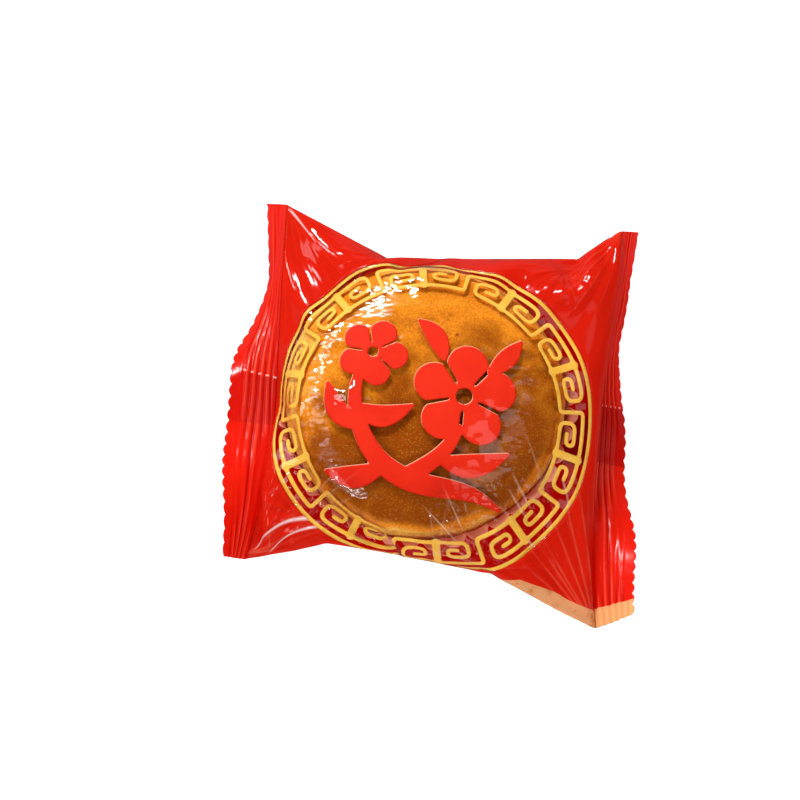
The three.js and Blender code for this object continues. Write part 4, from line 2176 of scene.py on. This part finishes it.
@dataclass
class PaperCup:
    """The fluted paper cup: it hugs the pastry's side and flares out at its rim."""

    form: PastryForm
    headroom: Headroom
    base_radius: float = 27.0
    flare: float = 1.0
    height: float = 12.2
    flutes: int = 57
    crowding: float = 19.0
    crowded_at: float = 130.0
    flute_depth: float = 1.5
    # where the rim opens: its bearing, its spread, how much wider and how much higher
    opened: tuple[tuple[float, ...], ...] = ((-48.0, 36.0, 1.1, 3.4), (150.0, 40.0, -2.2, 3.9))
    clear: float = 0.1
    lift: float = 0.75
    paper: float = 0.12
    foot: float = 0.26
    side_depth: float = 0.12
    uneven: Lumps = Lumps(6.0, 1.0, 41)
    film_gap: float = 0.5

    def build(self) -> None:
        """Builds and dresses the cup."""
        around, rows = self.flutes * 10, 26
        piece = flat_grid("paper_cup", (0.0, 0.0), (1.0, 1.0), (around, rows))
        flat = read_points(piece)
        turn, rise = flat[:, 0] * 2 * np.pi, flat[:, 1]
        wall = np.clip((rise - self.foot) / (1 - self.foot), 0, 1)
        floor = np.clip(rise / self.foot, 0, 1)
        flare = np.full(len(flat), self.flare)
        height = np.full(len(flat), self.height)
        for direction, spread, wider, higher in self.opened:
            near = bearing_bump(turn, direction, spread)
            flare += wider * near
            height += higher * near
        z = self.lift + (height - self.lift) * np.sin(wall * np.pi / 2)
        form = self.form
        sunk = np.clip((form.waist - z) / (form.waist - form.foot), 0, 1)
        side = form.reach(turn) * (1 - sunk**form.lower_power) ** (1 / form.lower_power)
        side = np.maximum(side + self.clear, self.base_radius)
        spread_out = smooth_step(wall, 0.58, 1.0)
        crowd = self.crowding / (2 * np.pi) * np.sin(turn - math.radians(self.crowded_at))
        wave = 2 * np.abs(np.sin(np.pi * (flat[:, 0] * self.flutes + crowd))) ** 0.6 - 1
        ring = np.stack([np.cos(turn), np.sin(turn), 0 * turn], -1)
        uneven = self.uneven.at(ring * 30 + 50) * spread_out
        depth = self.side_depth + (self.flute_depth - self.side_depth) * spread_out
        on_floor = rise < self.foot
        radius = np.where(on_floor, self.base_radius * floor, side + flare * spread_out)
        radius = radius + (wave * depth * (1 + 0.25 * uneven)) * np.where(on_floor, 0, 1)
        radius += uneven * 0.5
        z += uneven * 0.5
        x, y = form.x + radius * np.cos(turn), form.y + radius * np.sin(turn)
        z = np.minimum(z, self.headroom.over(x, y) - self.film_gap)
        shape_piece(piece, np.stack([x, y, z], -1))
        edit_all(piece, lambda: bpy.ops.mesh.remove_doubles(threshold=2e-6),
                 lambda: bpy.ops.mesh.normals_make_consistent(inside=False))
        solid_wall(piece, self.paper, 0.0)
        finish_piece(piece, CupPaper().material("greaseproof_paper"), "paper_cup")


# ---- the studio


@dataclass
class SoftBox:
    """One soft light: its bearing and height in degrees, its distance, size and power."""

    name: str
    bearing: float
    height: float
    size: Pair
    power: float
    distance: float = 0.9
    mirrored: bool = True
    aim: Triple = (0.0, 0.0, 0.01)

    def build(self) -> None:
        """Adds the light; one that isn't mirrored only fills the shadows."""
        lamp = bpy.data.lights.new(self.name, "AREA")
        lamp.shape = "RECTANGLE"
        lamp.size, lamp.size_y = self.size
        lamp.energy = self.power
        holder = bpy.data.objects.new(self.name, lamp)
        bpy.context.scene.collection.objects.link(holder)
        holder.visible_glossy = self.mirrored
        turn, rise = math.radians(self.bearing), math.radians(self.height)
        away = Vector((math.cos(turn) * math.cos(rise), math.sin(turn) * math.cos(rise),
                       math.sin(rise)))
        holder.location = Vector(self.aim) + away * self.distance
        holder.rotation_euler = (-away).to_track_quat("-Z", "Y").to_euler()


@dataclass
class Studio:
    """Pale floor, soft lights and the camera."""

    azimuth: float = 5.0
    elevation: float = 74.0
    distance: float = 460.0
    lens: float = 76.5
    subject: Triple = (0.0, 0.0, 12.0)
    beside: float = 8.929
    above: float = 3.247

    def place_camera(self) -> None:
        """Stands the camera so that the subject lies a little off the middle of its view."""
        turn, rise = math.radians(self.azimuth), math.radians(self.elevation)
        back = np.array([math.sin(turn) * math.cos(rise), -math.cos(turn) * math.cos(rise),
                         math.sin(rise)])
        right = np.array([math.cos(turn), math.sin(turn), 0.0])
        up = np.cross(back, right)
        aim = np.array(self.subject) - right * self.beside + up * self.above
        data = bpy.data.cameras.new("camera")
        data.lens = self.lens
        data.sensor_width = 36.0
        data.clip_start = 0.01
        holder = bpy.data.objects.new("camera", data)
        bpy.context.scene.collection.objects.link(holder)
        holder.location = Vector(to_metres(aim + back * self.distance))
        holder.rotation_euler = (Vector(to_metres(aim)) - holder.location).to_track_quat(
            "-Z", "Y").to_euler()
        bpy.context.scene.camera = holder

    def lay_floor(self) -> None:
        """Adds the pale floor."""
        deselect_all()
        bpy.ops.mesh.primitive_plane_add(size=6.0, location=(0, 0, -0.0002))
        floor = bpy.context.object
        floor.name = "floor"
        material, w, place = new_material("pale_floor")
        colour = w.blend(w.noise(place, 3.0), (0.60, 0.60, 0.60, 1.0), (0.62, 0.62, 0.62, 1.0))
        shader = w.add("BsdfPrincipled", Base_Color=colour, Roughness=0.8)
        shader.inputs["Emission Color"].default_value = (1.0, 1.0, 1.0, 1.0)
        shader.inputs["Emission Strength"].default_value = 0.80
        dull = w.add("BsdfDiffuse", Color=(0.12, 0.12, 0.12, 1.0))
        w.show(w.layered(w.add("LightPath").outputs["Is Glossy Ray"], shader, dull))
        floor.data.materials.append(material)

    def hang_lights(self) -> None:
        """Adds the soft lights and the room's dim fill."""
        for box in (
            SoftBox("key_box", 114.0, 39.0, (0.15, 0.10), 5.2),
            SoftBox("ear_light", 142.0, 39.0, (0.12, 0.12), 1.25),
            SoftBox("left_light", -136.0, 42.0, (0.09, 0.07), 0.50),
            SoftBox("back_fill", 105.0, 30.0, (0.60, 0.40), 4.9, mirrored=False),
            SoftBox("left_fill", -155.0, 30.0, (0.50, 0.40), 2.5, mirrored=False),
            SoftBox("right_fill", -25.0, 28.0, (0.50, 0.40), 3.4, mirrored=False),
            SoftBox("front_fill", -86.0, 26.0, (0.50, 0.30), 2.8, mirrored=False),
            SoftBox("left_panel", -145.0, 42.0, (0.34, 0.30), 0.34),
            SoftBox("edge_panel", 170.0, 42.0, (0.20, 0.26), 0.80),
            SoftBox("right_panel", 15.0, 66.0, (0.28, 0.40), 0.28),
            SoftBox("front_panel", -60.0, 64.0, (0.12, 0.12), 0.04),
            SoftBox("low_panel", -40.0, 54.0, (0.10, 0.16), 0.10),
        ):
            box.build()
        world = bpy.data.worlds.new("room")
        world.use_nodes = True
        background = world.node_tree.nodes["Background"]
        background.inputs["Color"].default_value = (1.0, 0.99, 0.98, 1.0)
        background.inputs["Strength"].default_value = 0.11
        world.cycles_visibility.glossy = False
        bpy.context.scene.world = world
        bpy.context.scene.view_settings.view_transform = "Standard"

    def build(self) -> None:
        """Sets the studio up."""
        self.place_camera()
        self.lay_floor()
        self.hang_lights()


def main() -> None:
    """Builds the pack and its contents, and reports each piece."""
    logging.basicConfig(level=logging.INFO, format="%(name)s: %(message)s")
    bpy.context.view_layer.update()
    Studio().build()
    form = PastryForm()
    surface = FilmTube(form, CupForm()).drape()
    FilmPack(surface).build()
    headroom = Headroom(surface)
    Pastry(form, headroom).build()
    PaperCup(form, headroom).build()
    deselect_all()


if __name__ == "__main__":
    main()
